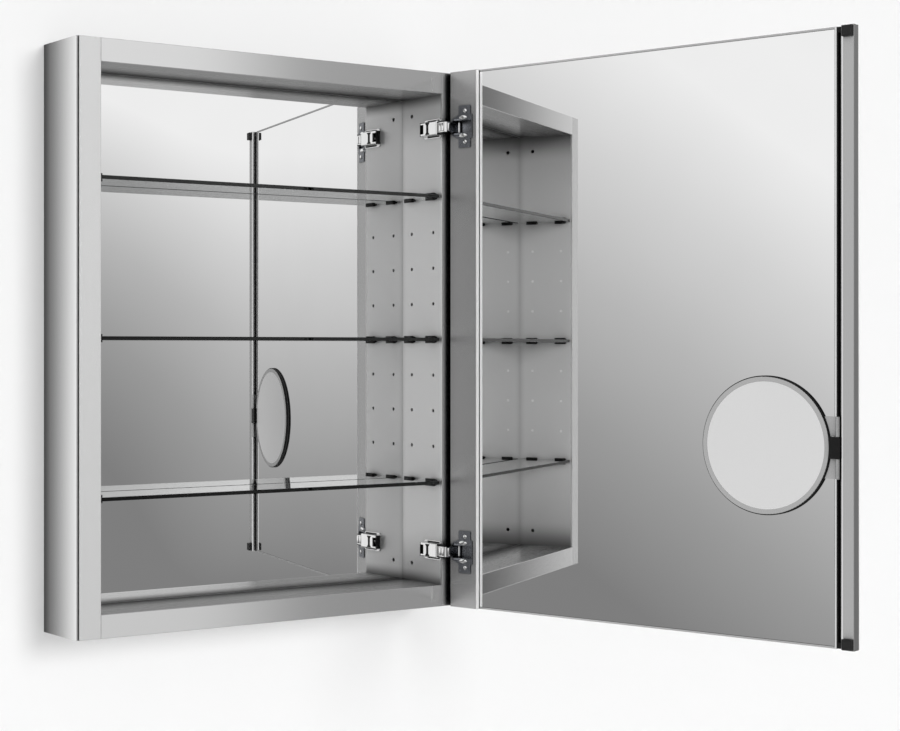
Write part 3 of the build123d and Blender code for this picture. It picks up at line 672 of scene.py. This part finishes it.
bright_plating_and_highlight = grained("bright_plating_and_highlight", BRIGHT_GREY, POLISHED, EVEN, METAL, lines=300, bump=0.005,
                         hollow=PLATE_HOLLOW)
dark_plating = grained("dark_plating", DARK_PLATE, CUP_ROUGH, EVEN, METAL, lines=400,
                       hollow=CUP_HOLLOW)
black_moulding_and_shade = grained("black_moulding_and_shade", MOULDED_AND_SHADE, MOULDED_ROUGH, EVEN, PAINT, lines=1200, bump=0.15,
                         gloss=MOULDING_GLOSS)
black_rubber = grained("black_rubber", RUBBER, RUBBER_ROUGH, EVEN, PAINT, lines=1500, bump=0.25)
core_board = grained("core_board", BOARD, BOARD_ROUGH, EVEN, PAINT, lines=700, bump=0.2)
pale_highlight = grained("pale_highlight", PALE, PALE_ROUGH, UPRIGHT, PAINT, bump=0.002, hollow=TRIM_HOLLOW)
highlight_metal = grained("highlight_metal", HIGHLIGHT_GREY, HIGHLIGHT_ROUGH, UPRIGHT, METAL, bump=0.002, hollow=TRIM_HOLLOW)

# %% [markdown]
# ### Galvanised sheet for the back
# The back isn't seen in the picture, and a cabinet of this kind is closed there with a galvanised sheet.
# Its zinc shows flat crystals. Noise could only blur them, so the cells of a Voronoi texture give each
# crystal one tone, and a slow noise adds streaks. The place is flattened, so that the cells run straight
# through the thin sheet.

# %% Galvanised sheet
SPANGLES_PER_METRE, STREAKS_PER_METRE, STREAK_DETAIL = 160.0, 6.0, 3.0
FLATTENED = (1, 0.05, 1)
CRYSTAL_SHARE = 0.55
ZINC_TONES = [(0.2, 0.62), (0.8, 0.76)]
ZINC_ROUGH = (0.36, 0.50)

back_sheet, back_tree, back_skin = start("back_sheet")
flat_place = add(back_tree, "Mapping", Scale=FLATTENED)
join(back_tree, add(back_tree, "TexCoord").outputs["Object"], flat_place.inputs["Vector"])
crystals = add(back_tree, "TexVoronoi", Scale=SPANGLES_PER_METRE)
streaks = add(back_tree, "TexNoise", Scale=STREAKS_PER_METRE, Detail=STREAK_DETAIL)
for texture in (crystals, streaks):
    join(back_tree, flat_place.outputs["Vector"], texture.inputs["Vector"])
crystal_tone = add(back_tree, "SeparateColor")
join(back_tree, crystals.outputs["Color"], crystal_tone.inputs["Color"])
crystal_part = math_node(back_tree, "MULTIPLY", crystal_tone.outputs["Red"], CRYSTAL_SHARE)
streak_part = math_node(back_tree, "MULTIPLY", streaks.outputs["Fac"], 1 - CRYSTAL_SHARE)
mottle = math_node(back_tree, "ADD", crystal_part, streak_part)
join(back_tree, ramp(back_tree, mottle, ZINC_TONES), back_skin.inputs["Base Color"])
zinc_rough = span(back_tree, crystal_tone.outputs["Red"], 0, 1, *ZINC_ROUGH)
join(back_tree, zinc_rough, back_skin.inputs["Roughness"])
back_skin.inputs["Metallic"].default_value = METAL
print("finish", back_sheet.name)

# %% [markdown]
# ### Mirrors
# A mirror is silver behind glass. Glass over metal could be traced, but a metal without roughness shows
# the same picture with less noise. A faint haze keeps it from being perfect. The magnifier's mirror is
# rougher, because in the picture it shows one soft tone. Where satin metal reflects a mirror, the way through
# both is long and noisy, so there the mirror gives a plain veil of light instead.

# %% Mirror finishes
HAZE_PER_METRE, HAZE_DETAIL = 7.0, 2.0
SILVER_TONES = [(0.3, 0.955), (0.7, 0.975)]
SHARP, BLURRED = 0.0, 0.28
VEIL = 0.36
VEIL_ACROSS, VEIL_HEIGHT = (0.08, 0.20), (0.285, 0.352)
VEIL_RISE, VEIL_DROP = 0.26, -0.24


def graded_veil(tree, where):
    """The back mirror's veil: brighter towards the right, but darker at both ends there."""
    spot = add(tree, "SeparateXYZ")
    join(tree, where, spot.inputs["Vector"])
    rightward = span(tree, spot.outputs["X"], *VEIL_ACROSS, 0, 1)
    height = size_of(tree, spot.outputs["Z"])
    change = span(tree, height, *VEIL_HEIGHT, VEIL_RISE, VEIL_DROP)
    return math_node(tree, "ADD", math_node(tree, "MULTIPLY", rightward, change), VEIL)


def silvered(name, rough, graded=False):
    material, tree, skin = start(name)
    where = add(tree, "TexCoord").outputs["Object"]
    haze = add(tree, "TexNoise", Scale=HAZE_PER_METRE, Detail=HAZE_DETAIL)
    join(tree, where, haze.inputs["Vector"])
    join(tree, ramp(tree, haze.outputs["Fac"], SILVER_TONES), skin.inputs["Base Color"])
    skin.inputs["Metallic"].default_value = METAL
    skin.inputs["Roughness"].default_value = rough
    veil = add(tree, "Emission", Strength=VEIL)
    if graded:
        join(tree, graded_veil(tree, where), veil.inputs["Strength"])
    path = add(tree, "LightPath").outputs
    from_satin = math_node(tree, "SUBTRACT", path["Is Glossy Ray"], path["Is Singular Ray"])
    chosen = mix(tree, from_satin, skin.outputs["BSDF"], veil.outputs["Emission"])
    join(tree, chosen, tree.nodes["Material Output"].inputs["Surface"])
    material.cycles.emission_sampling = "NONE"
    print("finish", name)
    return material


mirror = silvered("silvered_mirror", SHARP)
back_silvering = silvered("back_silvering", SHARP, graded=True)
magnifier_mirror = silvered("magnifier_mirror", BLURRED)

# %% [markdown]
# ### Glass of the shelves
# The shelves are clear glass whose cut edges look nearly black. Real glass gets that from the long way that
# light takes inside it. Absorption in the volume could do it at the price of noise, so the tint
# is darkened on all faces that stand upright, which are the edges.

# %% Shelf glass
CLEAR_TINT, EDGE_TINT = (0.93, 0.95, 0.945, 1), (0.06, 0.066, 0.063, 1)
LEVEL_LEAST = 0.5
GLASS_IOR = 1.5

shelf_glass, glass_tree, glass_skin = start("shelf_glass")
facing = add(glass_tree, "SeparateXYZ")
join(glass_tree, add(glass_tree, "NewGeometry").outputs["Normal"], facing.inputs["Vector"])
upward = size_of(glass_tree, facing.outputs["Z"])
edge_tone = add(glass_tree, "Mix", {"data_type": "RGBA"})
edge_tone.inputs["A"].default_value = CLEAR_TINT
edge_tone.inputs["B"].default_value = EDGE_TINT
join(glass_tree, math_node(glass_tree, "LESS_THAN", upward, LEVEL_LEAST), edge_tone.inputs["Factor"])
join(glass_tree, edge_tone.outputs["Result"], glass_skin.inputs["Base Color"])
glass_skin.inputs["Roughness"].default_value = SHARP
glass_skin.inputs["IOR"].default_value = GLASS_IOR
glass_skin.inputs["Transmission Weight"].default_value = 1.0
print("finish", shelf_glass.name)

# %% [markdown]
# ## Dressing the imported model
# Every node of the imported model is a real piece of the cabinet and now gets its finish. The names could be
# searched for words such as stile or rail, but a plain list per finish shows at once what is what.

# %% Dress the carried-over nodes
FINISHES = {
    satin_upright: ["left_side_cover", "right_side_cover", "right_stile"],
    stile_satin: ["left_stile"],
    satin_across: ["top_panel", "bottom_panel", "top_rail", "bottom_rail"],
    inner_end: ["inner_ceiling", "inner_floor"],
    door_upright: ["hinge_stile", "free_stile", "track_channel", "magnifier_leaf", "magnifier_ring"],
    door_across: ["door_top_rail", "door_bottom_rail"],
    inner_left: ["left_inner_wall"],
    inner_right: ["right_inner_wall"],
    back_sheet: ["back_panel"],
    mirror: ["front_mirror", "inner_mirror"],
    back_silvering: ["back_mirror"],
    magnifier_mirror: ["magnifier_glass"],
    shelf_glass: ["upper_shelf", "middle_shelf", "lower_shelf"],
    black_moulding_and_shade: ["left_shelf_clips", "right_shelf_clips", "track_liner", "track_end_stops",
                     "magnifier_slider", "magnifier_knuckle", "magnifier_shell"],
    black_rubber: ["door_bumpers"],
    bright_plating_and_highlight: ["upper_hinge_base", "lower_hinge_base", "hinge_base_screws", "hinge_cup_screws",
                     "magnifier_pin", "upper_hinge_arm", "lower_hinge_arm"],
    dark_plating: ["upper_hinge_cup", "lower_hinge_cup", "hinge_pins"],
    core_board: ["door_core"],
}
for finish, names in FINISHES.items():
    for name in names:
        node = nodes_by_name[name]
        node.data.materials.clear()
        node.data.materials.append(finish)
dressed = sum(len(names) for names in FINISHES.values())
print("dressed", dressed, "of", len(nodes_by_name), "nodes")

# %% [markdown]
# ## Details that are modelled here
# The imported model keeps its fine hardware plain. The bright trims of the door, the screw heads and the
# hinge fittings are modelled now; the trims and some fittings paint highlights, and black pieces on the
# hinges paint shade. The door stands at an angle, so placing them in the room would mean sines and cosines
# everywhere.
# Places on the door are measured along it instead: `p` from the hinge edge, `u` from the outer face inwards.
# One matrix carries such a place into the room.

# %% Places along the door
PIVOT_P, PIVOT_U = 0.0102, 0.0070
ALONG_DOOR = Vector((-math.cos(DOOR_OPEN), -math.sin(DOOR_OPEN), 0))
INTO_DOOR = Vector((-math.sin(DOOR_OPEN), math.cos(DOOR_OPEN), 0))
UP = Vector(UP_AXIS)

corner_place = Vector(swing["pos_m"]) - ALONG_DOOR * PIVOT_P - INTO_DOOR * PIVOT_U
corner_place.z = 0
door_axes = Matrix((ALONG_DOOR, INTO_DOOR, UP)).transposed().to_4x4()
door_place = Matrix.Translation(corner_place) @ door_axes
door_back = door_place.inverted()


def door_box(node):
    """Lowest and highest p, u and z of a node of the door."""
    spots = [door_back @ vertex.co for vertex in nodes_by_name[node].data.vertices]
    lowest, highest = (Vector([pick(values) for values in zip(*spots)]) for pick in (min, max))
    return lowest, highest


print("hinge stile along the door", [[round(v, 4) for v in end] for end in door_box("hinge_stile")])

# %% [markdown]
# ### Helpers for modelling
# A piece could be given as lists of points and faces, but those are hard to read. Here each starts as a
# small outline or profile, and a bmesh operator makes the rest: `prism` extrudes, `bar` is a block to start
# from, `soften` bevels all edges, and `lathe` spins.

# %% Piece helpers
SHARP_ANGLE = 35
MERGE_DISTANCE = 1e-6


def prism(form, outline, step):
    """A face through the points of an outline, extruded by one step."""
    face = form.faces.new([form.verts.new(point) for point in outline])
    grown = bmesh.ops.extrude_face_region(form, geom=[face])["geom"]
    tops = [item for item in grown if isinstance(item, bmesh.types.BMVert)]
    bmesh.ops.translate(form, verts=tops, vec=step)


def bar(form, low, high):
    """A block between two corners, as the start of a softened shape."""
    (left, front, bottom), (right, back, top) = low, high
    outline = [(left, front), (right, front), (right, back), (left, back)]
    prism(form, [(x, y, bottom) for x, y in outline], (0, 0, top - bottom))


def soften(form, offset, segments):
    bmesh.ops.recalc_face_normals(form, faces=form.faces)
    bmesh.ops.bevel(form, geom=form.edges[:], offset=offset, segments=segments, profile=0.5,
                    affect="EDGES", material=-1, clamp_overlap=True)


def lathe(form, profile, centre, axis, steps):
    """A line of points spun once round an axis."""
    points = [form.verts.new(point) for point in profile]
    lines = [form.edges.new(pair) for pair in zip(points, points[1:])]
    bmesh.ops.spin(form, geom=points + lines, cent=centre, axis=axis, dvec=(0, 0, 0),
                   angle=2 * math.pi, steps=steps, use_merge=True)
    bmesh.ops.remove_doubles(form, verts=form.verts, dist=MERGE_DISTANCE)


def piece(name, form, body, material, place=None, replaced=()):
    if place:
        form.transform(place)
    bmesh.ops.recalc_face_normals(form, faces=form.faces)
    mesh = bpy.data.meshes.new(name)
    form.to_mesh(mesh)
    form.free()
    mesh.polygons.foreach_set("use_smooth", [True] * len(mesh.polygons))
    mesh.set_sharp_from_angle(angle=math.radians(SHARP_ANGLE))
    mesh.materials.append(material)
    thing = bpy.data.objects.new(name, mesh)
    scene.collection.objects.link(thing)
    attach(thing, body)
    for node in replaced:
        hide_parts(node)
    print(name, len(mesh.polygons), "faces")
    return thing


print("edges over", SHARP_ANGLE, "degrees stay sharp")

# %% [markdown]
# ### The silver of the back mirror
# A glass mirror carries its silver on the back, so what it shows lies deeper than the face of the
# glass. The whole pane could be glass with silver behind it, but the glass adds little besides noise. A thin
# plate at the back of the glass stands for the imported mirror.

# %% Back silver
SILVER_T, SILVER_EDGE = 0.0006, 0.0001

pane_low, pane_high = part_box("back_mirror")
form = bmesh.new()
bar(form, (pane_low.x, pane_high.y - SILVER_T, pane_low.z), pane_high)
soften(form, SILVER_EDGE, segments=1)
piece("back_silver", form, "cabinet", back_silvering, replaced=["back_mirror"])

# %% [markdown]
# ### Painted highlight on the step beside the hinge stile
# The hinge stile stands higher than the inner mirror, and a pale strip with a round head closes the step.
# Its white paints the highlight along that step. A strip of paint would do from afar, but only a round head
# catches the light along the whole door. A softened bar makes the strip, and an extruded circle makes its
# head.

# %% Hinge step trim
TRIM_END = 0.0004
STEP_TRIM_T, STEP_TRIM_FOOT = 0.00025, 0.0013
STEP_TRIM_EDGE = STEP_TRIM_T / 3
HEAD_ROUND, HEAD_SINK, HEAD_SIDES = 0.0010, 0.0004, 20


def arc(middle, radius, begin, end, steps):
    """Points of an arc in p and u, between two angles."""
    turns = [begin + (end - begin) * i / steps for i in range(steps + 1)]
    return [(middle[0] + radius * math.cos(turn), middle[1] + radius * math.sin(turn)) for turn in turns]


def door_strip(form, outline, low, high):
    """An outline in p and u, drawn out along the door's height."""
    bottom, top = low.z + TRIM_END, high.z - TRIM_END
    prism(form, [(p, u, bottom) for p, u in outline], (0, 0, top - bottom))


stile_low, stile_high = door_box("hinge_stile")
foot = door_box("inner_mirror")[1].y + STEP_TRIM_FOOT
form = bmesh.new()
bar(form, (stile_high.x, foot, stile_low.z + TRIM_END),
    (stile_high.x + STEP_TRIM_T, stile_high.y, stile_high.z - TRIM_END))
soften(form, STEP_TRIM_EDGE, segments=1)
head_middle = (stile_high.x - HEAD_SINK, stile_high.y - HEAD_SINK)
head_outline = arc(head_middle, HEAD_ROUND, 0, 2 * math.pi, HEAD_SIDES)[:-1]
door_strip(form, head_outline, stile_low, stile_high)
piece("hinge_step_trim", form, "door", pale_highlight, door_place)

# %% [markdown]
# ### Bead and edge strip of the track
# A shallow bead runs along the lip of the track, and a thin rounded strip covers the edge of the stile on its
# other side. Their round shape catches real light, and their metal, brighter than the door's, paints the
# highlights of the lip and of the rounded edge. Bevels on those bars would give the shape, but not a brighter
# metal. So each is its own thin piece: a low arch for the bead, and a quarter round with a lap for the strip.

# %% Track trims
BEAD_RISE, BEAD_INSET, BEAD_STEPS = 0.00018, 0.00015, 8
EDGE_STRIP_T, EDGE_ROUND, EDGE_STEPS = 0.00012, 0.0020, 6
EDGE_LAP = 0.0012

channel_low, channel_high = door_box("track_channel")
lip_from = channel_low.x + BEAD_INSET
lip_half = (door_box("track_liner")[0].x - BEAD_INSET - lip_from) / 2
arch = [(lip_from + lip_half + lip_half * across, channel_high.y + BEAD_RISE * rise)
        for across, rise in arc((0, 0), 1, 0, math.pi, BEAD_STEPS)]
form = bmesh.new()
door_strip(form, arch, channel_low, channel_high)
piece("track_lip_bead", form, "door", highlight_metal, door_place)

free_low, free_high = door_box("free_stile")
round_middle = (free_low.x + EDGE_ROUND, free_high.y - EDGE_ROUND)
outer_round = EDGE_ROUND + EDGE_STRIP_T
inside = arc(round_middle, EDGE_ROUND, math.pi, math.pi / 2, EDGE_STEPS)
outside = arc(round_middle, outer_round, math.pi / 2, math.pi, EDGE_STEPS)
lap = [(round_middle[0] + EDGE_LAP, round_middle[1] + height) for height in (EDGE_ROUND, outer_round)]
form = bmesh.new()
door_strip(form, inside + lap + outside, free_low, free_high)
piece("stile_edge_strip", form, "door", highlight_metal, door_place)

# %% [markdown]
# ### Sleeves in the left wall's holes
# The door's mirror shows the left wall, and there the free shelf holes shine. Pale sleeves paint that shine.
# A bright disc would do, but a dished sleeve shades as a hole does. Each is lathed round the hole's axis and
# set just below the face of the wall. The holes stand in two columns, those of the clips, and a shelf hangs
# at every fourth row.

# %% Hole sleeves
CLIP_HALF, ROWS_PER_SHELF = 0.009, 4
FREE_ROWS = (-3, -2, -1, 1, 2, 3)
SLEEVE_R, SLEEVE_LIP, SLEEVE_DISH, SLEEVE_L = 0.00245, 0.0003, 0.0004, 0.0014
SLEEVE_KNEE = 0.6
SLEEVE_BELOW, SLEEVE_STEPS = 0.0001, 24

clips_low, clips_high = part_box("left_shelf_clips")
shelf_low, shelf_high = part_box("upper_shelf")
row_pitch = (shelf_low.z + shelf_high.z) / 2 / ROWS_PER_SHELF
rim_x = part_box("left_inner_wall")[1].x - SLEEVE_BELOW
profile = [(rim_x - SLEEVE_DISH, 0), (rim_x - SLEEVE_DISH * SLEEVE_KNEE, SLEEVE_R * SLEEVE_KNEE),
           (rim_x, SLEEVE_R - SLEEVE_LIP), (rim_x, SLEEVE_R),
           (rim_x - SLEEVE_L, SLEEVE_R), (rim_x - SLEEVE_L, 0)]
form = bmesh.new()
for column in (clips_low.y + CLIP_HALF, clips_high.y - CLIP_HALF):
    for row in FREE_ROWS:
        level = row * row_pitch
        points = [(x, column + r, level) for x, r in profile]
        lathe(form, points, (0, column, level), (1, 0, 0), SLEEVE_STEPS)
piece("left_hole_sleeves", form, "cabinet", pale_highlight)

# %% [markdown]
# ### The magnifier's skirt
# Under its silver ring the disc flares out into a black skirt. Its wide flare paints the dark reflection of
# the shell that the door's mirror shows beside the disc. A cone would leave a gap below the ring, so a small
# profile
# is lathed round the middle of the disc: it starts under the ring's edge, slopes outwards and turns in again
# above the underside of the shell.

# %% Magnifier skirt
SKIRT_FLARE, SKIRT_LAP = 0.0013, 0.0003
SKIRT_TOP_DROP = 0.0002
SKIRT_EDGE_OUT, SKIRT_EDGE_DROP = 0.0001, 0.0005
SKIRT_SLOPE_DROP = 0.0019
SKIRT_FOOT_OUTER, SKIRT_FOOT_INNER = 0.0014, 0.0013
SKIRT_STEPS = 128

ring_low, ring_high = door_box("magnifier_ring")
shell_under = door_box("magnifier_shell")[0].y
disc_p, disc_z = (ring_low.x + ring_high.x) / 2, (ring_low.z + ring_high.z) / 2
ring_r = (ring_high.x - ring_low.x) / 2
ring_top = ring_high.y
profile = [(ring_r - SKIRT_LAP, ring_top - SKIRT_TOP_DROP),
           (ring_r + SKIRT_EDGE_OUT, ring_top - SKIRT_EDGE_DROP),
           (ring_r + SKIRT_FLARE, ring_top - SKIRT_SLOPE_DROP),
           (ring_r + SKIRT_FLARE, shell_under + SKIRT_FOOT_OUTER),
           (ring_r - SKIRT_LAP, shell_under + SKIRT_FOOT_INNER)]
points = [(disc_p + r, u, disc_z) for r, u in profile + profile[:1]]
form = bmesh.new()
lathe(form, points, (disc_p, 0, disc_z), (0, 1, 0), SKIRT_STEPS)
piece("magnifier_skirt", form, "magnifier", black_moulding_and_shade, door_place)

# %% [markdown]
# ### Painted shade in the hinge slots
# Each hinge is set by a screw in a slot of its base, and the shade in the slot looks like a black waisted
# shape. It could be cut into the base, but the imported mesh stays as it is. A thin black piece, a little
# proud of the base, paints that shade. One corner of its outline is written down and mirrored twice.

# %% Slot shade
SLOT_HALF_W, SLOT_HALF_H, SLOT_FLARE = 0.0024, 0.0085, 0.0022
SLOT_BACK = 0.021
SLOT_SHADE_PROUD, SLOT_SHADE_DEPTH, SLOT_SHADE_EDGE = 0.0003, 0.0012, 0.0002

base_low, base_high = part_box("upper_hinge_base")
HINGE_LEVEL = (base_low.z + base_high.z) / 2
HINGE_LEVELS = (HINGE_LEVEL, -HINGE_LEVEL)
slot_y = base_low.y + SLOT_BACK
wide = SLOT_HALF_W + SLOT_FLARE
flare = SLOT_HALF_H - SLOT_FLARE
outline = [(wide, SLOT_HALF_H), (wide, flare + SLOT_FLARE / 2), (SLOT_HALF_W, flare - SLOT_FLARE / 2)]
outline += [(y, -z) for y, z in reversed(outline)]
outline += [(-y, z) for y, z in reversed(outline)]
form = bmesh.new()
for level in HINGE_LEVELS:
    points = [(base_low.x - SLOT_SHADE_PROUD, slot_y + y, level + z) for y, z in outline]
    prism(form, points, (SLOT_SHADE_PROUD + SLOT_SHADE_DEPTH, 0, 0))
soften(form, SLOT_SHADE_EDGE, segments=1)
piece("hinge_slot_shade", form, "cabinet", black_moulding_and_shade)

# %% [markdown]
# ### Link plates on the hinge arms
# A real hinge of this kind is a stack of bright links. The whole linkage could be modelled, but only
# its plates show, so rounded plates are laid on the arm: two on the part that leaves the base,
# and one on the part that reaches into the door.

# %% Link plates
LINK_PROUD, LINK_HALF_H, LINK_EDGE = 0.0008, 0.0056, 0.0006
LINKS = ((0.0075, 0.0025), (0.0135, 0.0090))
REACH_LINK, REACH_PROUD = (0.0045, 0.0090), 0.0003

arm_low, arm_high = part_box("upper_hinge_arm")
reach_y = arm_low.y - REACH_PROUD
form = bmesh.new()
for level in HINGE_LEVELS:
    below, above = level - LINK_HALF_H, level + LINK_HALF_H
    for front, back in LINKS:
        bar(form, (arm_low.x - LINK_PROUD, base_low.y - front, below),
            (arm_low.x + LINK_PROUD, base_low.y - back, above))
    bar(form, (arm_low.x + REACH_LINK[0], reach_y, below),
        (arm_low.x + REACH_LINK[1], reach_y + 2 * LINK_PROUD, above))
soften(form, LINK_EDGE, segments=3)
piece("hinge_link_plates", form, "cabinet", bright_plating_and_highlight)

# %% [markdown]
# ### Painted shade around the hinges
# Black lines of shade frame the bright block of each hinge: along its sides, at its back end and beside its
# arm. Dark paint on the plating could draw them, but it would stay flat. Thin softened black bars, which
# stand out from the metal, paint that shade instead. What lies on both sides of a hinge is made by a loop
# over its sides.

# %% Hinge edge, back and arm shade
HOUSING_HALF, HOUSING_L, PLATE_T = 0.0100, 0.0300, 0.0018
EDGE_BAR_H, EDGE_BAR_GAP, EDGE_BAR_T = 0.0022, 0.0003, 0.0003
BACK_SHADE_T, BACK_SHADE_INSET = 0.0012, 0.0005
ARM_SHADE_H, ARM_SHADE_GAP, LEG_T = 0.0016, 0.0001, 0.004
THIN_EDGE, BLOCK_EDGE = 0.0002, 0.0004

arm_half = (arm_high.z - arm_low.z) / 2
plate_x = base_high.x - PLATE_T
arm_shade_front = base_low.y - LINKS[1][0]
edges, back_shade_blocks, arm_shade_strips = bmesh.new(), bmesh.new(), bmesh.new()
for level in HINGE_LEVELS:
    bar(back_shade_blocks, (base_low.x + BACK_SHADE_INSET, base_high.y, level - HOUSING_HALF),
        (plate_x, base_high.y + BACK_SHADE_T, level + HOUSING_HALF))
    for side in (1, -1):
        rim = HOUSING_HALF + EDGE_BAR_GAP
        low, high = sorted((level + side * rim, level + side * (rim + EDGE_BAR_H)))
        bar(edges, (plate_x - EDGE_BAR_T, base_low.y + EDGE_BAR_H, low),
            (plate_x + EDGE_BAR_T, base_low.y + HOUSING_L, high))
        low, high = sorted((level + side * (arm_half + ARM_SHADE_GAP), level + side * (arm_half + ARM_SHADE_H)))
        bar(arm_shade_strips, (arm_low.x, arm_shade_front, low), (arm_low.x + LEG_T, base_low.y, high))
soften(edges, THIN_EDGE, segments=1)
soften(back_shade_blocks, BLOCK_EDGE, segments=2)
soften(arm_shade_strips, BLOCK_EDGE, segments=2)
piece("hinge_base_edge_shade", edges, "cabinet", black_moulding_and_shade)
piece("hinge_base_back_shade", back_shade_blocks, "cabinet", black_moulding_and_shade)
piece("hinge_arm_shade", arm_shade_strips, "cabinet", black_moulding_and_shade)

# %% [markdown]
# ### Shoulders of the hinge cups
# Beside the arm each cup swells into two shining shoulders, which look pressed out of its sheet. A sculpted
# mesh could follow them. A flattened dome, half sunk into the flange, has that form too. The domes take the
# bright plating instead of the cup's dark one, which paints their highlights.

# %% Cup shoulders
SHOULDER_HALF = (0.0070, 0.0016, 0.0033)
SHOULDER_P, SHOULDER_Z = 0.0238, 0.0128
BALL_AROUND, BALL_UP = 24, 12
HEAD_H = 0.0016

cup_screw_low, cup_screw_high = door_box("hinge_cup_screws")
flange_face = cup_screw_high.y - HEAD_H
form = bmesh.new()
for level in HINGE_LEVELS:
    for side in (1, -1):
        made = bmesh.ops.create_uvsphere(form, u_segments=BALL_AROUND, v_segments=BALL_UP, radius=1)
        seat = (SHOULDER_P, flange_face, level + side * SHOULDER_Z)
        bmesh.ops.scale(form, verts=made["verts"], vec=SHOULDER_HALF)
        bmesh.ops.translate(form, verts=made["verts"], vec=seat)
piece("hinge_cup_shoulders", form, "door", bright_plating_and_highlight, door_place)

# %% [markdown]
# ### Screws
# The hinges are held by small screws with a domed head and a cross. A bump could draw the cross, but
# on bright metal it needs real walls to reflect. So each screw is lathed with its shank, and
# a cross is cut out of it with a Boolean modifier, whose result is kept as the mesh.
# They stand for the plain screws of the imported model.

# %% Screw shapes
SHANK_R, SHANK_L = 0.0016, 0.0070
HEAD_RIM, DOME_STEPS, SCREW_STEPS = 0.35, 6, 32
CROSS_WIDE, CROSS_LONG, CROSS_DEEP = 0.0010, 0.0040, 0.0010


def screw_shape(head_r):
    """A screw whose head points along +Y, seated at the origin."""
    form = bmesh.new()
    dome = [(head_r * across, HEAD_H * (HEAD_RIM + (1 - HEAD_RIM) * rise))
            for across, rise in arc((0, 0), 1, 0, math.pi / 2, DOME_STEPS)]
    profile = [(0, -SHANK_L), (SHANK_R, -SHANK_L), (SHANK_R, 0), (head_r, 0)] + dome
    lathe(form, [(r, h, 0) for r, h in profile], (0, 0, 0), (0, 1, 0), SCREW_STEPS)
    return form


def cross_shape():
    """Two crossed blocks that reach down into the head of a screw."""
    form = bmesh.new()
    for long, wide in ((CROSS_LONG, CROSS_WIDE), (CROSS_WIDE, CROSS_LONG)):
        bar(form, (-long / 2, HEAD_H - CROSS_DEEP, -wide / 2),
            (long / 2, HEAD_H + CROSS_DEEP, wide / 2))
    return form


print("screws are", round(1000 * (SHANK_L + HEAD_H), 1), "mm long")

# %% [markdown]
# ### Cutting the crosses
# All screws of a set are gathered in one mesh and all their crosses in another, so that one Boolean
# cuts the whole set. The cutter is removed as soon as its work is done.

# %% Screw sets
def gather(small, place, big):
    """Moves a shape to its place and adds it to a bigger one."""
    small.transform(place)
    part = bpy.data.meshes.new("part")
    small.to_mesh(part)
    small.free()
    big.from_mesh(part)
    bpy.data.meshes.remove(part)


def carve(thing, crosses):
    """Cuts crosses out of an object and keeps the result as its mesh."""
    bmesh.ops.recalc_face_normals(crosses, faces=crosses.faces)
    cutter = bpy.data.objects.new("cutter", bpy.data.meshes.new("cutter"))
    crosses.to_mesh(cutter.data)
    crosses.free()
    scene.collection.objects.link(cutter)
    cut = thing.modifiers.new("cross", "BOOLEAN")
    cut.operation = "DIFFERENCE"
    cut.solver = "EXACT"
    cut.use_self = True
    cut.object = cutter
    carved_view = thing.evaluated_get(bpy.context.evaluated_depsgraph_get())
    carved = bpy.data.meshes.new_from_object(carved_view)
    thing.modifiers.clear()
    uncut, thing.data = thing.data, carved
    bpy.data.meshes.remove(uncut)
    carved.name = thing.name
    bpy.data.objects.remove(cutter)
    print(thing.name, "carved:", len(carved.polygons), "faces")


def screw_set(name, body, seats, head_r, turn, replaced, place=None):
    """Screws at the middles of their seats, all turned alike."""
    heads, crosses = bmesh.new(), bmesh.new()
    for seat in seats:
        spot = Matrix.Translation(seat) @ turn
        gather(screw_shape(head_r), spot, heads)
        gather(cross_shape(), spot, crosses)
    screws = piece(name, heads, body, bright_plating_and_highlight, place, replaced)
    if place:
        crosses.transform(place)
    carve(screws, crosses)


head_r = (cup_screw_high.x - cup_screw_low.x) / 2
screw_p = (cup_screw_low.x + cup_screw_high.x) / 2
screw_rise = cup_screw_high.z - head_r - HINGE_LEVEL
cup_seats = [Vector((screw_p, flange_face, level + rise))
             for level in HINGE_LEVELS for rise in (screw_rise, -screw_rise)]
screw_set("cup_screws", "door", cup_seats, head_r, Matrix.Identity(4), ["hinge_cup_screws"], door_place)

base_screw_low, base_screw_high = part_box("hinge_base_screws")
screw_y = (base_screw_low.y + base_screw_high.y) / 2
base_seats = [Vector((base_screw_low.x + HEAD_H, screw_y, level)) for level in HINGE_LEVELS]
heads_left = Matrix.Rotation(math.pi / 2, 4, "Z")
screw_set("base_screws", "cabinet", base_seats, head_r, heads_left, ["hinge_base_screws"])

# %% [markdown]
# ## Sizes
# Last, the box of the finished model is printed, so that a piece that sticks out would be noticed.

# %% Sizes and finish
low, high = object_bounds()
print("visual box", [round(v, 4) for v in high - low])
